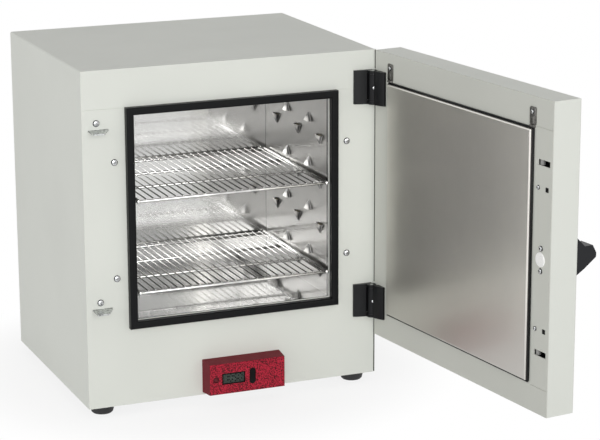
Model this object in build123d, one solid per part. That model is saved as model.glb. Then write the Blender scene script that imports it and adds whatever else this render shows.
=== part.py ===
from build123d import *
import math
import os

# A bench drying oven: a sheet-steel cabinet on four feet, a stainless chamber with pressed
# shelf tabs, an insulated door on two hinges, two wire shelves and a small controller.
# Millimetres, +Z up. The origin is on the bench, under the centre of the casing.
# The front faces -Y. The door is modelled shut and then swung open on its hinge axis.

# ------------------------------------------------------------------ casing sizes
case_width = 450
case_depth = 360
case_height = 494
case_bend = 2.5
sheet = 1.2
nest_gap = 0.2
front_flange = 18
rear_flange = 14
tray_lip = 14
seam_width = 1.0
seam_depth = 0.8

# ------------------------------------------------------------------ feet
foot_height = 14
foot_top_radius = 19
foot_bottom_radius = 16
foot_edge = 2
foot_inset_x = 27
foot_inset_y = 25
foot_recess_radius = 5
foot_recess_depth = 6

# ------------------------------------------------------------------ chamber sizes
wall_width = 75
header_height = 67
rear_room = 110
chamber_floor_height = 127
liner = 1.0
liner_hem = 0.8
liner_hem_depth = 6
liner_flange_low = 12
liner_flange_from_casing = 39
fit_gap = 0.3

# ------------------------------------------------------------------ shelf tabs
tab_rows = 4
tab_first_height = 36.4
tab_top_room = 60.8
tab_columns = 3
tab_first_depth = 33
tab_back_room = 48
tab_reach = 5.8
tab_cut_half = 10
tab_tip_half = 2.4
tab_shoulder = 3
tab_drop = 14.5
tab_tip_reach = 0.7
tab_grip_drop = 12.5
tab_grip_gap = 13.4
tab_sheet = 0.9

# ------------------------------------------------------------------ wire shelves
shelf_side_gap = 2
shelf_back_gap = 8
shelf_front_reach = 6
shelf_rail = 6
rail_sides = 8
wire_sides = 6
shelf_cross = 4
shelf_cross_count = 4
shelf_wire = 2.2
shelf_wire_count = 25
shelf_edge_room = 13.6
shelf_wire_overhang = 1.5
upper_shelf_rows = 2
lower_shelf_rows = 0
shelf_seat_gap = 0.05

# ------------------------------------------------------------------ gasket
gasket_width = 11
gasket_reach = 11
gasket_clear = 1
gasket_round = 3

# ------------------------------------------------------------------ door sizes
door_free_inset = 3
door_sill = 62
door_thickness = 45
door_hinge_inset = 5
door_gap = 18
door_round = 2.5
door_open_angle = 97
insulation_gap = 0.3
panel_side_lap = 28.5
panel_end_lap = 23
panel_reach = 6
panel_sheet = 1.0
panel_round = 2
seal_width = 5
seal_reach = 2.5
seal_clear = 0.2
clip_width = 14
clip_height = 25.5
clip_sheet = 1.5
clip_corner = 4
clip_from_edge = 1
clip_lift = 0.2

# ------------------------------------------------------------------ hinges
hinge_height = 50
hinge_offset_x = 4.6
hinge_offset_y = 7.2
hinge_radius = 6.6
hinge_pin_radius = 2.5
running_gap = 0.05
hinge_knuckle = 4.6
hinge_knuckle_gap = 0.3
hinge_from_end = 54
hinge_leaf_fixed = 26.4
hinge_leaf_door = 24.9
hinge_leaf_edge = 3
hinge_leaf_root_fixed = 7.2
hinge_leaf_root_door = 9.4
hinge_root_x = 7.5
hinge_web = 3
hinge_screw_spacing = 30
hinge_screw_inset = 12
hinge_screw_bite = 3

# ------------------------------------------------------------------ door catches
catch_from_floor = 20.5
catch_from_roof = 18.5
tongue_from_casing = 9.5
tongue_width = 29
tongue_tip = 16.5
tongue_length = 26
tongue_thick = 2
tongue_gap = 0.4
striker_height = 20
striker_screw_height = 10.5
striker_corner = 4
slot_width = 26.5
slot_height = 8
slot_clear = 1.5
roller_radius = 3.5
roller_half = 4.2
roller_depth = 5.5
roller_clear = 0.3
roller_pin_radius = 1.5
catch_wall = 2
catch_depth = 14
catch_length = 58
catch_half_height = 11
slide_gap = 0.2
slide_block = 13
spring_folds = 6
spring_fold_thick = 1.5
spring_strip = 11
spring_clear = 1
catch_screw_above_low = 32.5
catch_screw_below_high = 34.5
catch_screw_from_edge = 30.5
square_hole = 4.5
square_hole_from_edge = 10.4

# ------------------------------------------------------------------ handle
handle_from_edge = 22
handle_width = 26
handle_base = 26
handle_plate = 5
handle_neck = 18
handle_nose = 37
handle_top = 13
handle_low = 18
handle_scoop_radius = 13
handle_screw_spacing = 31
plug_radius = 10
plug_thick = 1.4
plug_lap = 2
plug_stem = 4

# ------------------------------------------------------------------ controller
ctrl_width = 121
ctrl_height = 50
ctrl_reach = 28
ctrl_draft = 2
ctrl_offset_x = 9
ctrl_lift = 4
ctrl_wall = 2.5
ctrl_round = 1.2
lcd_width = 36
lcd_height = 17
lcd_offset_x = -22
window_thick = 2
window_gap = 0.15
module_border = 3.5
module_thick = 4
board_width = 100
board_height = 36
board_thick = 1.6
post_radius = 2.5
boss_radius = 3.5
rocker_width = 9.6
rocker_length = 23
rocker_gap = 0.5
rocker_offset_x = 7.8
rocker_proud = 1.0
rocker_depth = 4.2
rocker_dish = 40
rocker_pivot_radius = 1.0
rocker_pivot_depth = 3.6
rocker_ear = 2
lamp_radius = 3.5
lamp_round = 1
lamp_offset_x = -49.5
lamp_proud = 0.8
ctrl_screw_inset = 6.5
cable_hole_radius = 7

# ------------------------------------------------------------------ heating and electrics
heater_space = 16
jacket_floor = 14
jacket_back = 45
heater_tray_side_gap = 20
heater_tray_end_gap = 25
heater_tray_sheet = 0.8
heater_radius = 3.25
heater_half = 60
heater_bend = 40
heater_lift = 7
lug_thick = 2
lug_width = 12
cutout_radius = 9
cutout_height = 8
cutout_flange = (28, 12, 1.2)
probe_radius = 2
probe_inside = 25
probe_tail = 15
probe_from_roof = 22
probe_from_side = 40
probe_collar = 5
relay_board_width = 110
relay_board_length = 70
standoff_radius = 4
standoff_height = 6
relay_size = (28, 22, 18)
terminal_size = (44, 14, 16)
terminal_inset = 12
terminal_offset = 2
terminal_count = 5
terminal_pitch = 8
well_radius = 2.5
well_depth = 5
inlet_offset_x = 150
inlet_height = 42
inlet_body = (27, 19.5, 22)
inlet_flange = (32, 25, 3)
inlet_wall = 1.6
inlet_cavity = 16
vent_count = 8
vent_width = 4
vent_length = 26
vent_pitch = 12

# ------------------------------------------------------------------ fasteners
screw_radius = 2
screw_head_sides = 10
screw_shank_sides = 6
screw_head_radius = 4.8
screw_head_height = 2.6
small_head_radius = 3.2
small_head_height = 2
screw_gap = 0.2
screw_bite = 4
pocket_gap = 1
chamber_screw_from_casing = 46.5
chamber_screw_spread = 170

# ------------------------------------------------------------------ places worked out
front_y = -case_depth / 2
back_y = case_depth / 2
case_z0 = foot_height
case_z1 = case_z0 + case_height
frame_back = front_y + sheet
shell_half = case_width / 2 - sheet
frame_half = shell_half - nest_gap
tray_half = frame_half - sheet - nest_gap
chamber_half = case_width / 2 - wall_width
chamber_z0 = case_z0 + chamber_floor_height
chamber_z1 = case_z1 - header_height
chamber_mid = (chamber_z0 + chamber_z1) / 2
chamber_back = back_y - rear_room
chamber_depth = chamber_back - front_y
liner_flange_x = case_width / 2 - liner_flange_from_casing
tab_row_pitch = (chamber_z1 - chamber_z0 - tab_first_height - tab_top_room) / (tab_rows - 1)
tab_pitch = (chamber_depth - tab_first_depth - tab_back_room) / (tab_columns - 1)
shelf_half = chamber_half - shelf_side_gap
shelf_length = chamber_depth + shelf_front_reach - shelf_back_gap
shelf_wire_pitch = 2 * (shelf_half - shelf_edge_room) / (shelf_wire_count - 1)
door_x1 = case_width / 2 - door_hinge_inset
door_x0 = -case_width / 2 + door_free_inset
door_z1 = case_z1
door_z0 = case_z0 + door_sill
door_inner = front_y - door_gap
door_outer = door_inner - door_thickness
door_back = door_inner - sheet
hinge_x = door_x1 - hinge_offset_x
hinge_y = door_inner + hinge_offset_y
hinge_centres = (door_z0 + hinge_from_end, door_z1 - hinge_from_end)
hinge_axis = Axis((hinge_x, hinge_y, 0), (0, 0, 1))
panel_half = chamber_half + panel_side_lap
panel_z0 = chamber_z0 - panel_end_lap
panel_z1 = chamber_z1 + panel_end_lap
clip_offset = panel_half - clip_from_edge
gasket_inner = chamber_half + gasket_clear
gasket_outer = gasket_inner + gasket_width
catch_heights = (chamber_z0 + catch_from_floor, chamber_z1 - catch_from_roof)
tongue_left = case_width / 2 - tongue_from_casing
chamber_screw_x = case_width / 2 - chamber_screw_from_casing
handle_x = door_x0 + handle_from_edge
tray_top = case_z0 + sheet
heater_floor = chamber_z0 - liner - heater_space
heater_tray_half = chamber_half - heater_tray_side_gap
probe_x = -chamber_half + probe_from_side
catch_screw_z = (catch_heights[0] + catch_screw_above_low, catch_heights[1] - catch_screw_below_high)
heater_tray_length = chamber_depth - 2 * heater_tray_end_gap


# ------------------------------------------------------------------ shared shapes
def block(x, y, z):
    """Rectangular solid between low and high pairs of coordinates."""
    size = [high - low for low, high in (x, y, z)]
    centre = [(high + low) / 2 for low, high in (x, y, z)]
    return Pos(*centre) * Box(*size)


def rod(start, direction, radius, length):
    """Round bar that starts at a point and runs along a direction."""
    return extrude(Plane(origin=start, z_dir=direction) * Circle(radius), length)


def spread(spacing):
    """The two places half a spacing either side of the middle."""
    return (-spacing / 2, spacing / 2)


def group(solids):
    """Several separate solids of one node."""
    return Compound(children=list(solids))


def faceted(start, direction, radius, length, sides):
    """Bar with flat sides inside the given radius, for shapes that repeat many times."""
    return extrude(Plane(origin=start, z_dir=direction) * RegularPolygon(radius, sides), length)


def pan_screw(seat, outward, head_radius, head_height, bite):
    """Pan-head screw: its head stands outward of the seat and its shank goes in."""
    head = faceted(seat, outward, head_radius, head_height, screw_head_sides)
    top = head.faces().sort_by(Axis(seat, outward))[-1]
    head = chamfer(top.edges(), head_height * 0.4)
    inward = tuple(-c for c in outward)
    return head + faceted(seat, inward, screw_radius, bite, screw_shank_sides)


def screw_hole(seat, outward, depth):
    """Clearance hole for a shank, from the seat inward."""
    inward = tuple(-c for c in outward)
    return faceted(seat, inward, screw_radius + screw_gap, depth, screw_shank_sides)


def head_pocket(x, y, z, depth):
    """Room in an insulation block for a screw head or shank, along Y."""
    radius = small_head_radius + pocket_gap
    return faceted((x, y, z), (0, 1, 0), radius, depth, screw_head_sides)


def swung(shape):
    """A door piece, turned on the hinge axis from shut to open."""
    return shape.rotate(hinge_axis, door_open_angle)


def save(shape, node):
    """One STEP file for a node."""
    export_step(shape, f"parts/{node}.step")


# ------------------------------------------------------------------ fastener places
chamber_screw_places = [
    (side * chamber_screw_x, front_y, chamber_mid - 1 + dz)
    for side in (-1, 1)
    for dz in spread(chamber_screw_spread)
]
striker_screw_places = [
    (-tongue_left + tongue_width * 0.4, front_y, z + striker_screw_height) for z in catch_heights
]
hinge_screw_z = [z + dz for z in hinge_centres for dz in spread(hinge_screw_spacing)]
fixed_hinge_screw_x = hinge_x - hinge_leaf_fixed + hinge_screw_inset
door_hinge_screw_x = hinge_x - hinge_leaf_door + hinge_screw_inset
foot_places = [
    (sx * (case_width / 2 - foot_inset_x), sy * (case_depth / 2 - foot_inset_y))
    for sx in (-1, 1)
    for sy in (-1, 1)
]
rear_screw_places = [
    (sx * (shell_half - rear_flange / 2), back_y, case_z0 + case_height * share)
    for sx in (-1, 1)
    for share in (0.1, 0.5, 0.9)
]
ctrl_mid_z = case_z0 + ctrl_lift + ctrl_height / 2
ctrl_screw_z = ctrl_mid_z - ctrl_height * 0.28
ctrl_screw_places = [
    (ctrl_offset_x + dx, ctrl_screw_z) for dx in spread(ctrl_width - 2 * ctrl_screw_inset)
]


# ------------------------------------------------------------------ casing
def outer_shell():
    """Left side, top and right side folded from one sheet, with rear flanges."""
    y = (frame_back, back_y)
    outer = block((-case_width / 2, case_width / 2), y, (case_z0, case_z1))
    outer = fillet(outer.edges().filter_by(Axis.Y).group_by(Axis.Z)[-1], case_bend)
    inner = block((-shell_half, shell_half), y, (case_z0 - sheet, case_z1 - sheet))
    inner = fillet(inner.edges().filter_by(Axis.Y).group_by(Axis.Z)[-1], case_bend - sheet)
    flange_y = (back_y - 2 * sheet, back_y - sheet)
    flange = block((-shell_half, shell_half), flange_y, (case_z0, case_z1 - sheet))
    hole_half = shell_half - rear_flange
    hole = block((-hole_half, hole_half), flange_y, (case_z0, case_z1 - sheet - rear_flange))
    shell = outer - inner + (flange - hole)
    for place in rear_screw_places:
        shell -= screw_hole(place, (0, 1, 0), 3 * sheet)
    return shell


def front_frame():
    """Front face with the chamber mouth, the header seam and folded flanges."""
    frame = block(
        (-case_width / 2, case_width / 2), (front_y, frame_back), (case_z0, case_z1)
    )
    frame -= block(
        (-chamber_half, chamber_half), (front_y, frame_back), (chamber_z0, chamber_z1)
    )
    flange_y = (frame_back, frame_back + front_flange)
    flange = block((-frame_half, frame_half), flange_y, (case_z0, case_z1 - sheet - nest_gap))
    flange = fillet(flange.edges().filter_by(Axis.Y).group_by(Axis.Z)[-1], case_bend - sheet)
    inside = frame_half - sheet
    flange -= block((-inside, inside), flange_y, (case_z0, case_z1 - 2 * sheet - nest_gap))
    frame += flange
    seam_z = chamber_z1 + gasket_clear + gasket_width
    for side in (-1, 1):
        ends = sorted((side * gasket_outer, side * case_width / 2))
        groove_z = (seam_z - seam_width, seam_z)
        frame -= block(ends, (front_y, front_y + seam_depth), groove_z)
    for place in chamber_screw_places:
        frame -= screw_hole(place, (0, -1, 0), sheet)
    for place in striker_screw_places:
        frame -= screw_hole(place, (0, -1, 0), sheet)
    tongue_x = (-tongue_left - tongue_gap, -tongue_left + tongue_width + tongue_gap)
    half = tongue_thick / 2 + tongue_gap
    for z in catch_heights:
        frame -= block(tongue_x, (front_y, frame_back), (z - half, z + half))
    for z in hinge_screw_z:
        frame -= screw_hole((fixed_hinge_screw_x, front_y, z), (0, -1, 0), sheet)
    for x, z in ctrl_screw_places:
        frame -= screw_hole((x, front_y, z), (0, -1, 0), sheet)
    frame -= rod((ctrl_offset_x, front_y, ctrl_mid_z), (0, 1, 0), cable_hole_radius, sheet)
    return frame


def vent_slots(x_mid, z_low, y):
    """A row of upright slots in the rear panel."""
    slots = []
    for n in range(vent_count):
        x = x_mid + (n - (vent_count - 1) / 2) * vent_pitch
        slot_x = (x - vent_width / 2, x + vent_width / 2)
        slots.append(block(slot_x, (y, y + sheet), (z_low, z_low + vent_length)))
    return slots


def rear_panel():
    """Screwed-on back with cooling slots and the cut-out for the mains inlet."""
    y0 = back_y - sheet
    panel = block((-frame_half, frame_half), (y0, back_y), (case_z0, case_z1 - sheet - nest_gap))
    panel = fillet(panel.edges().filter_by(Axis.Y).group_by(Axis.Z)[-1], case_bend - sheet)
    for place in rear_screw_places:
        panel -= screw_hole(place, (0, 1, 0), sheet)
    for slot in vent_slots(-inlet_offset_x / 2, case_z0 + inlet_height / 2, y0):
        panel -= slot
    for slot in vent_slots(0, case_z1 - 3 * inlet_height / 2, y0):
        panel -= slot
    width, height, _ = inlet_body
    panel -= block(
        (inlet_offset_x - width / 2 - window_gap, inlet_offset_x + width / 2 + window_gap),
        (y0, back_y),
        (
            case_z0 + inlet_height - height / 2 - window_gap,
            case_z0 + inlet_height + height / 2 + window_gap,
        ),
    )
    return panel


def relay_board_corners():
    """Places of the four standoffs, in the bay behind the controller."""
    half_x = relay_board_width / 2 - standoff_radius - 1
    half_y = relay_board_length / 2 - standoff_radius - 1
    return [(sx * half_x, sy * half_y) for sx in (-1, 1) for sy in (-1, 1)]


def base_tray():
    """Bottom pan with lips, pressed standoffs and cooling slots."""
    y = (frame_back, back_y - 2 * sheet)
    tray = block((-tray_half, tray_half), y, (case_z0, case_z0 + tray_lip))
    inner_y = (y[0], y[1] - sheet)
    inner_half = tray_half - sheet
    tray -= block((-inner_half, inner_half), inner_y, (tray_top, case_z0 + tray_lip))
    for x, y in relay_board_corners():
        tray += rod((x, y, case_z0), (0, 0, 1), standoff_radius, sheet + standoff_height)
    for x, y in foot_places:
        tray -= screw_hole((x, y, tray_top), (0, 0, 1), sheet)
    for side in (-1, 1):
        for n in range(vent_count):
            x = side * case_width / 4 + (n - (vent_count - 1) / 2) * vent_pitch
            slot_x = (x - vent_width / 2, x + vent_width / 2)
            tray -= block(slot_x, (-vent_length, vent_length), (case_z0, tray_top))
    return tray


def foot(x, y):
    """Domed rubber foot with a recess for its screw."""
    profile = make_face(
        Polyline(
            (0, 0),
            (foot_bottom_radius - foot_edge, 0),
            (foot_bottom_radius, foot_edge),
            (foot_top_radius, foot_height),
            (0, foot_height),
            (0, 0),
        )
    )
    body = revolve(Plane.XZ * profile, Axis.Z)
    body -= faceted((0, 0, 0), (0, 0, 1), foot_recess_radius, foot_recess_depth, screw_head_sides)
    body -= screw_hole((0, 0, foot_height), (0, 0, 1), foot_height)
    return Pos(x, y, 0) * body


def foot_screw(x, y):
    """Screw that holds a foot to the base tray."""
    bite = foot_height - foot_recess_depth + sheet + screw_bite
    return pan_screw((x, y, foot_recess_depth), (0, 0, -1), 4, 2.2, bite)


# ------------------------------------------------------------------ chamber
def chamber_wrap():
    """Floor, back and roof folded from one stainless sheet, with hemmed front edges."""
    half = chamber_half + liner
    y = (frame_back, chamber_back)
    wrap = block((-half, half), y, (chamber_z0 - liner, chamber_z0))
    wrap += block((-half, half), y, (chamber_z1, chamber_z1 + liner))
    back_z = (chamber_z0 - liner, chamber_z1 + liner)
    wrap += block((-half, half), (chamber_back, chamber_back + liner), back_z)
    lip_y = (frame_back, frame_back + liner)
    low = chamber_z0 - liner
    high = chamber_z1 + liner
    wrap += block((-half, half), lip_y, (low - liner_flange_low, low))
    wrap += block((-half, half), lip_y, (high, high + liner_flange_low))
    hem_y = (frame_back, frame_back + liner_hem_depth)
    hem_half = chamber_half - liner_hem
    wrap += block((-hem_half, hem_half), hem_y, (chamber_z0, chamber_z0 + liner_hem))
    wrap += block((-hem_half, hem_half), hem_y, (chamber_z1 - liner_hem, chamber_z1))
    hole_start = (probe_x, chamber_back, chamber_z1 - probe_from_roof)
    wrap -= rod(hole_start, (0, 1, 0), probe_radius + running_gap, liner)
    return wrap


def tab_face(half, shoulder, reach, sunk, z):
    """Level outline of a pressed tab: a trapezoid that stands off the wall."""
    points = [(-sunk, -half), (0, -half), (reach, shoulder - half)]
    points += [(reach, half - shoulder), (0, half), (-sunk, half)]
    if sunk == 0:
        points = points[1:-1]
    return Plane(origin=(0, 0, z)) * make_face(Polyline(*points, points[0]))


def tab_shape(drop):
    """Pressed tab and the hollow behind it. Its straight cut edge is at the top."""
    tip_shoulder = tab_shoulder * tab_tip_reach / tab_reach
    outer = loft(
        [
            tab_face(tab_cut_half, tab_shoulder, tab_reach, 0, 0),
            tab_face(tab_tip_half, tip_shoulder, tab_tip_reach, 0, -drop),
        ],
        ruled=True,
    )
    share = tab_sheet / tab_reach
    hollow = loft(
        [
            tab_face(
                tab_cut_half - tab_sheet,
                tab_shoulder * (1 - share),
                tab_reach - tab_sheet,
                2 * liner,
                0,
            ),
            tab_face(
                tab_tip_half - tab_sheet,
                tip_shoulder * 0.5,
                tab_tip_reach * 0.5,
                2 * liner,
                -drop + tab_sheet,
            ),
        ],
        ruled=True,
    )
    return outer, hollow


def tab_places():
    """Depth and height of every support tab, and of every tab that grips from above."""
    supports = []
    grips = []
    for row in range(tab_rows):
        z = chamber_z0 + tab_first_height + row * tab_row_pitch
        for column in range(tab_columns):
            y = front_y + tab_first_depth + column * tab_pitch
            supports.append((y, z))
            if column:
                grips.append((y - tab_pitch / 2, z + tab_grip_gap))
    return supports, grips


def chamber_side():
    """Right wall of the chamber: flat sheet with a flange, a hem and pressed tabs."""
    z = (chamber_z0, chamber_z1)
    wall = block((chamber_half, chamber_half + liner), (frame_back, chamber_back), z)
    flange_x = (chamber_half, liner_flange_x)
    wall += block(flange_x, (frame_back, frame_back + liner), z)
    hem_y = (frame_back, frame_back + liner_hem_depth)
    wall += block((chamber_half - liner_hem, chamber_half), hem_y, z)
    support, support_hollow = tab_shape(tab_drop)
    grip, grip_hollow = tab_shape(tab_grip_drop)
    inward = Rot(0, 0, 180)
    upside_down = Rot(180, 0, 0)
    supports, grips = tab_places()
    bumps = [Pos(chamber_half, y, z) * inward * support for y, z in supports]
    hollows = [Pos(chamber_half, y, z) * inward * support_hollow for y, z in supports]
    bumps += [Pos(chamber_half, y, z) * inward * upside_down * grip for y, z in grips]
    hollows += [Pos(chamber_half, y, z) * inward * upside_down * grip_hollow for y, z in grips]
    wall = wall + bumps - hollows
    for x, y, z in chamber_screw_places:
        if x > 0:
            wall -= screw_hole((x, frame_back, z), (0, -1, 0), liner)
    return wall


def insulation_jacket():
    """Mineral-wool jacket round the chamber, with room under the floor for the heater."""
    y = (frame_back + liner + fit_gap, chamber_back + liner + jacket_back)
    side = tray_half - fit_gap
    top = case_z1 - 2 * sheet - nest_gap - fit_gap
    jacket = block((-side, side), y, (heater_floor - jacket_floor, top))
    half = chamber_half + liner + fit_gap
    cavity_y = (y[0], chamber_back + liner + fit_gap)
    jacket -= block((-half, half), cavity_y, (heater_floor, chamber_z1 + liner + fit_gap))
    hole_start = (probe_x, cavity_y[1], chamber_z1 - probe_from_roof)
    collar_room = probe_collar + pocket_gap
    jacket -= faceted(hole_start, (0, 1, 0), collar_room, jacket_back, screw_head_sides)
    for z in hinge_screw_z:
        jacket -= head_pocket(fixed_hinge_screw_x, y[0], z, screw_bite)
    for x, _, z in striker_screw_places:
        jacket -= head_pocket(x, y[0], z, screw_bite)
    plate_x = (-tongue_left - pocket_gap, -tongue_left + tongue_width + pocket_gap)
    plate_y = (y[0], frame_back + tongue_thick + fit_gap)
    for z in catch_heights:
        plate_z = (z - tongue_thick / 2 - pocket_gap, z + striker_height + pocket_gap)
        jacket -= block(plate_x, plate_y, plate_z)
    return jacket


def door_gasket():
    """Black sealing frame round the chamber mouth, rounded where the door meets it."""
    y = (front_y - gasket_reach, front_y)
    low = chamber_z0 - gasket_clear
    high = chamber_z1 + gasket_clear
    outer_z = (low - gasket_width, high + gasket_width)
    gasket = block((-gasket_outer, gasket_outer), y, outer_z)
    gasket -= block((-gasket_inner, gasket_inner), y, (low, high))
    return fillet(gasket.faces().sort_by(Axis.Y)[0].edges(), gasket_round)


# ------------------------------------------------------------------ shelves
def straight_wire(start, direction, across, sides, length):
    """Straight level wire with flat sides, two of them level, given across its flats."""
    section = RegularPolygon(across / 2, sides, major_radius=False, rotation=180 / sides)
    return extrude(Plane(origin=start, x_dir=(0, 0, 1), z_dir=direction) * section, length)


def shelf(row):
    """Welded shelf: two side rails, cross wires between them and long wires on top."""
    z0 = chamber_z0 + tab_first_height + row * tab_row_pitch + shelf_seat_gap
    y0 = front_y - shelf_front_reach
    y1 = y0 + shelf_length
    rail_x = shelf_half - shelf_rail / 2
    rail_z = z0 + shelf_rail / 2
    wires = [
        straight_wire((side * rail_x, y0, rail_z), (0, 1, 0), shelf_rail, rail_sides, shelf_length)
        for side in (-1, 1)
    ]
    first_y = y0 + shelf_cross / 2
    cross_pitch = (shelf_length - shelf_cross) / (shelf_cross_count - 1)
    for n in range(shelf_cross_count):
        start = (-rail_x, first_y + n * cross_pitch, rail_z)
        wires.append(straight_wire(start, (1, 0, 0), shelf_cross, rail_sides, 2 * rail_x))
    wire_z = rail_z + shelf_cross / 2 + shelf_wire / 2
    wire_y = y0 - shelf_wire_overhang
    for n in range(shelf_wire_count):
        x = (n - (shelf_wire_count - 1) / 2) * shelf_wire_pitch
        length = y1 + shelf_wire_overhang - wire_y
        start = (x, wire_y, wire_z)
        wires.append(straight_wire(start, (0, 1, 0), shelf_wire, wire_sides, length))
    return wires[0].fuse(*wires[1:])


# ------------------------------------------------------------------ strikers and hinges
def striker(z):
    """Bent bracket: a plate behind the front and a tapered tongue through its slot."""
    x0 = -tongue_left
    x1 = x0 + tongue_width
    plate_y = (frame_back, frame_back + tongue_thick)
    plate = block((x0, x1), plate_y, (z - tongue_thick / 2, z + striker_height))
    plate = chamfer(plate.edges().filter_by(Axis.Y).group_by(Axis.Z)[-1], striker_corner)
    outline = [
        (x0, frame_back),
        (x1, frame_back),
        (x1, front_y - tongue_thick),
        (x0 + tongue_tip, front_y - tongue_length),
        (x0, front_y - tongue_length),
    ]
    face = Plane(origin=(0, 0, z - tongue_thick / 2)) * make_face(Polyline(*outline, outline[0]))
    bracket = plate + extrude(face, tongue_thick)
    for place in striker_screw_places:
        bracket -= screw_hole(place, (0, -1, 0), sheet + tongue_thick)
    return bracket


def leaf_profile(reach, root, foot_y, toward):
    """Plate of a hinge leaf: thin at its free edge and swelling towards the barrel."""
    edge_x = hinge_x - reach
    root_x = hinge_x - hinge_root_x
    edge_top = (edge_x, foot_y + toward * hinge_leaf_edge)
    root_top = (root_x, foot_y + toward * root)
    crown = (
        (edge_x + root_x) / 2,
        foot_y + toward * ((hinge_leaf_edge + root) / 2 + 0.8),
    )
    swell = ThreePointArc(edge_top, crown, root_top)
    sides = Polyline(root_top, (root_x, foot_y), (edge_x, foot_y), edge_top)
    return make_face(swell + sides)


def knuckle_profile(root, foot_y, toward):
    """Barrel of a leaf, with the web that ties it to its plate."""
    root_x = hinge_x - hinge_root_x
    tip_x = hinge_x + hinge_web
    web = [
        (root_x, foot_y),
        (root_x, foot_y + toward * root),
        (hinge_x - hinge_radius, hinge_y),
        (hinge_x, hinge_y),
        (tip_x, hinge_y),
        (tip_x, foot_y),
    ]
    barrel = Pos(hinge_x, hinge_y) * Circle(hinge_radius)
    return make_face(Polyline(*web, web[0])) + barrel


def hinge_leaf(z_mid, reach, root, foot_y, toward, spans, screw_x):
    """One leaf: full-height plate, knuckles over the given spans, bore and blind screw holes."""
    z0 = z_mid - hinge_height / 2
    plate = leaf_profile(reach, root, foot_y, toward)
    leaf = extrude(Pos(0, 0, z0) * plate, hinge_height)
    knuckle = knuckle_profile(root, foot_y, toward)
    for low, high in spans:
        leaf += extrude(Pos(0, 0, z0 + low) * knuckle, high - low)
    bore = hinge_pin_radius + running_gap
    leaf -= rod((hinge_x, hinge_y, z0), (0, 0, 1), bore, hinge_height)
    for dz in spread(hinge_screw_spacing):
        leaf -= screw_hole((screw_x, foot_y, z_mid + dz), (0, -toward, 0), hinge_screw_bite)
    return leaf


def fixed_leaf(z_mid):
    """Leaf on the cabinet, with the two short end knuckles."""
    spans = ((0, hinge_knuckle), (hinge_height - hinge_knuckle, hinge_height))
    return hinge_leaf(
        z_mid, hinge_leaf_fixed, hinge_leaf_root_fixed, front_y, -1, spans, fixed_hinge_screw_x
    )


def door_leaf(z_mid):
    """Leaf on the door, with the long middle knuckle."""
    low = hinge_knuckle + hinge_knuckle_gap
    spans = ((low, hinge_height - low),)
    return hinge_leaf(
        z_mid, hinge_leaf_door, hinge_leaf_root_door, door_inner, 1, spans, door_hinge_screw_x
    )


def hinge_pin(z_mid):
    """Pin through all three knuckles."""
    start = (hinge_x, hinge_y, z_mid - hinge_height / 2)
    return rod(start, (0, 0, 1), hinge_pin_radius, hinge_height)


def hinge_screw(x, back_face, inward, z):
    """Screw from behind the sheet into a blind hole of a hinge leaf."""
    bite = sheet + hinge_screw_bite
    seat = (x, back_face, z)
    return pan_screw(seat, (0, inward, 0), small_head_radius, small_head_height, bite)


# ------------------------------------------------------------------ door
def door_skin():
    """Outer pan of the door: face and four sides."""
    x = (door_x0, door_x1)
    z = (door_z0, door_z1)
    pan = block(x, (door_outer, door_back), z)
    pan = fillet(pan.faces().sort_by(Axis.Y)[0].edges(), door_round)
    inner_x = (x[0] + sheet, x[1] - sheet)
    inner_z = (z[0] + sheet, z[1] - sheet)
    pan -= block(inner_x, (door_outer + sheet, door_back), inner_z)
    for dz in spread(handle_screw_spacing):
        seat = (handle_x, door_outer + sheet, chamber_mid + dz)
        pan -= screw_hole(seat, (0, 1, 0), sheet)
    return pan


def door_inner_frame():
    """Inner plate of the door, with catch slots, holes and seams beside the panel."""
    y = (door_back, door_inner)
    plate = block((door_x0, door_x1), y, (door_z0, door_z1))
    slot_x = (-tongue_left - slot_clear, -tongue_left - slot_clear + slot_width)
    for z in catch_heights:
        plate -= block(slot_x, y, (z - slot_height / 2, z + slot_height / 2))
    screw_x = door_x0 + catch_screw_from_edge
    hole_x = door_x0 + square_hole_from_edge
    for z in catch_screw_z:
        plate -= screw_hole((screw_x, door_inner, z), (0, 1, 0), sheet)
        plate -= block(
            (hole_x - square_hole / 2, hole_x + square_hole / 2),
            y,
            (z - square_hole / 2, z + square_hole / 2),
        )
    for z in hinge_screw_z:
        plate -= screw_hole((door_hinge_screw_x, door_inner, z), (0, 1, 0), sheet)
    for dz in spread(handle_screw_spacing):
        plate -= screw_hole((handle_x, door_inner, chamber_mid + dz), (0, 1, 0), sheet)
    plug_start = (handle_x, door_inner, chamber_mid)
    plug_hole = plug_radius - plug_lap + window_gap
    plate -= faceted(plug_start, (0, -1, 0), plug_hole, sheet, screw_head_sides)
    for x in spread(2 * clip_offset):
        plate -= screw_hole((x, door_inner, clip_screw_z()), (0, 1, 0), sheet)
    seam_z = (panel_z0 - seal_width, panel_z1 + seal_width)
    seal_edge = panel_half + seal_width
    for z in seam_z:
        for ends in ((door_x0, -seal_edge), (seal_edge, door_x1)):
            groove_z = (z - seam_width / 2, z + seam_width / 2)
            plate -= block(ends, (door_inner - seam_depth, door_inner), groove_z)
    return plate


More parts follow.
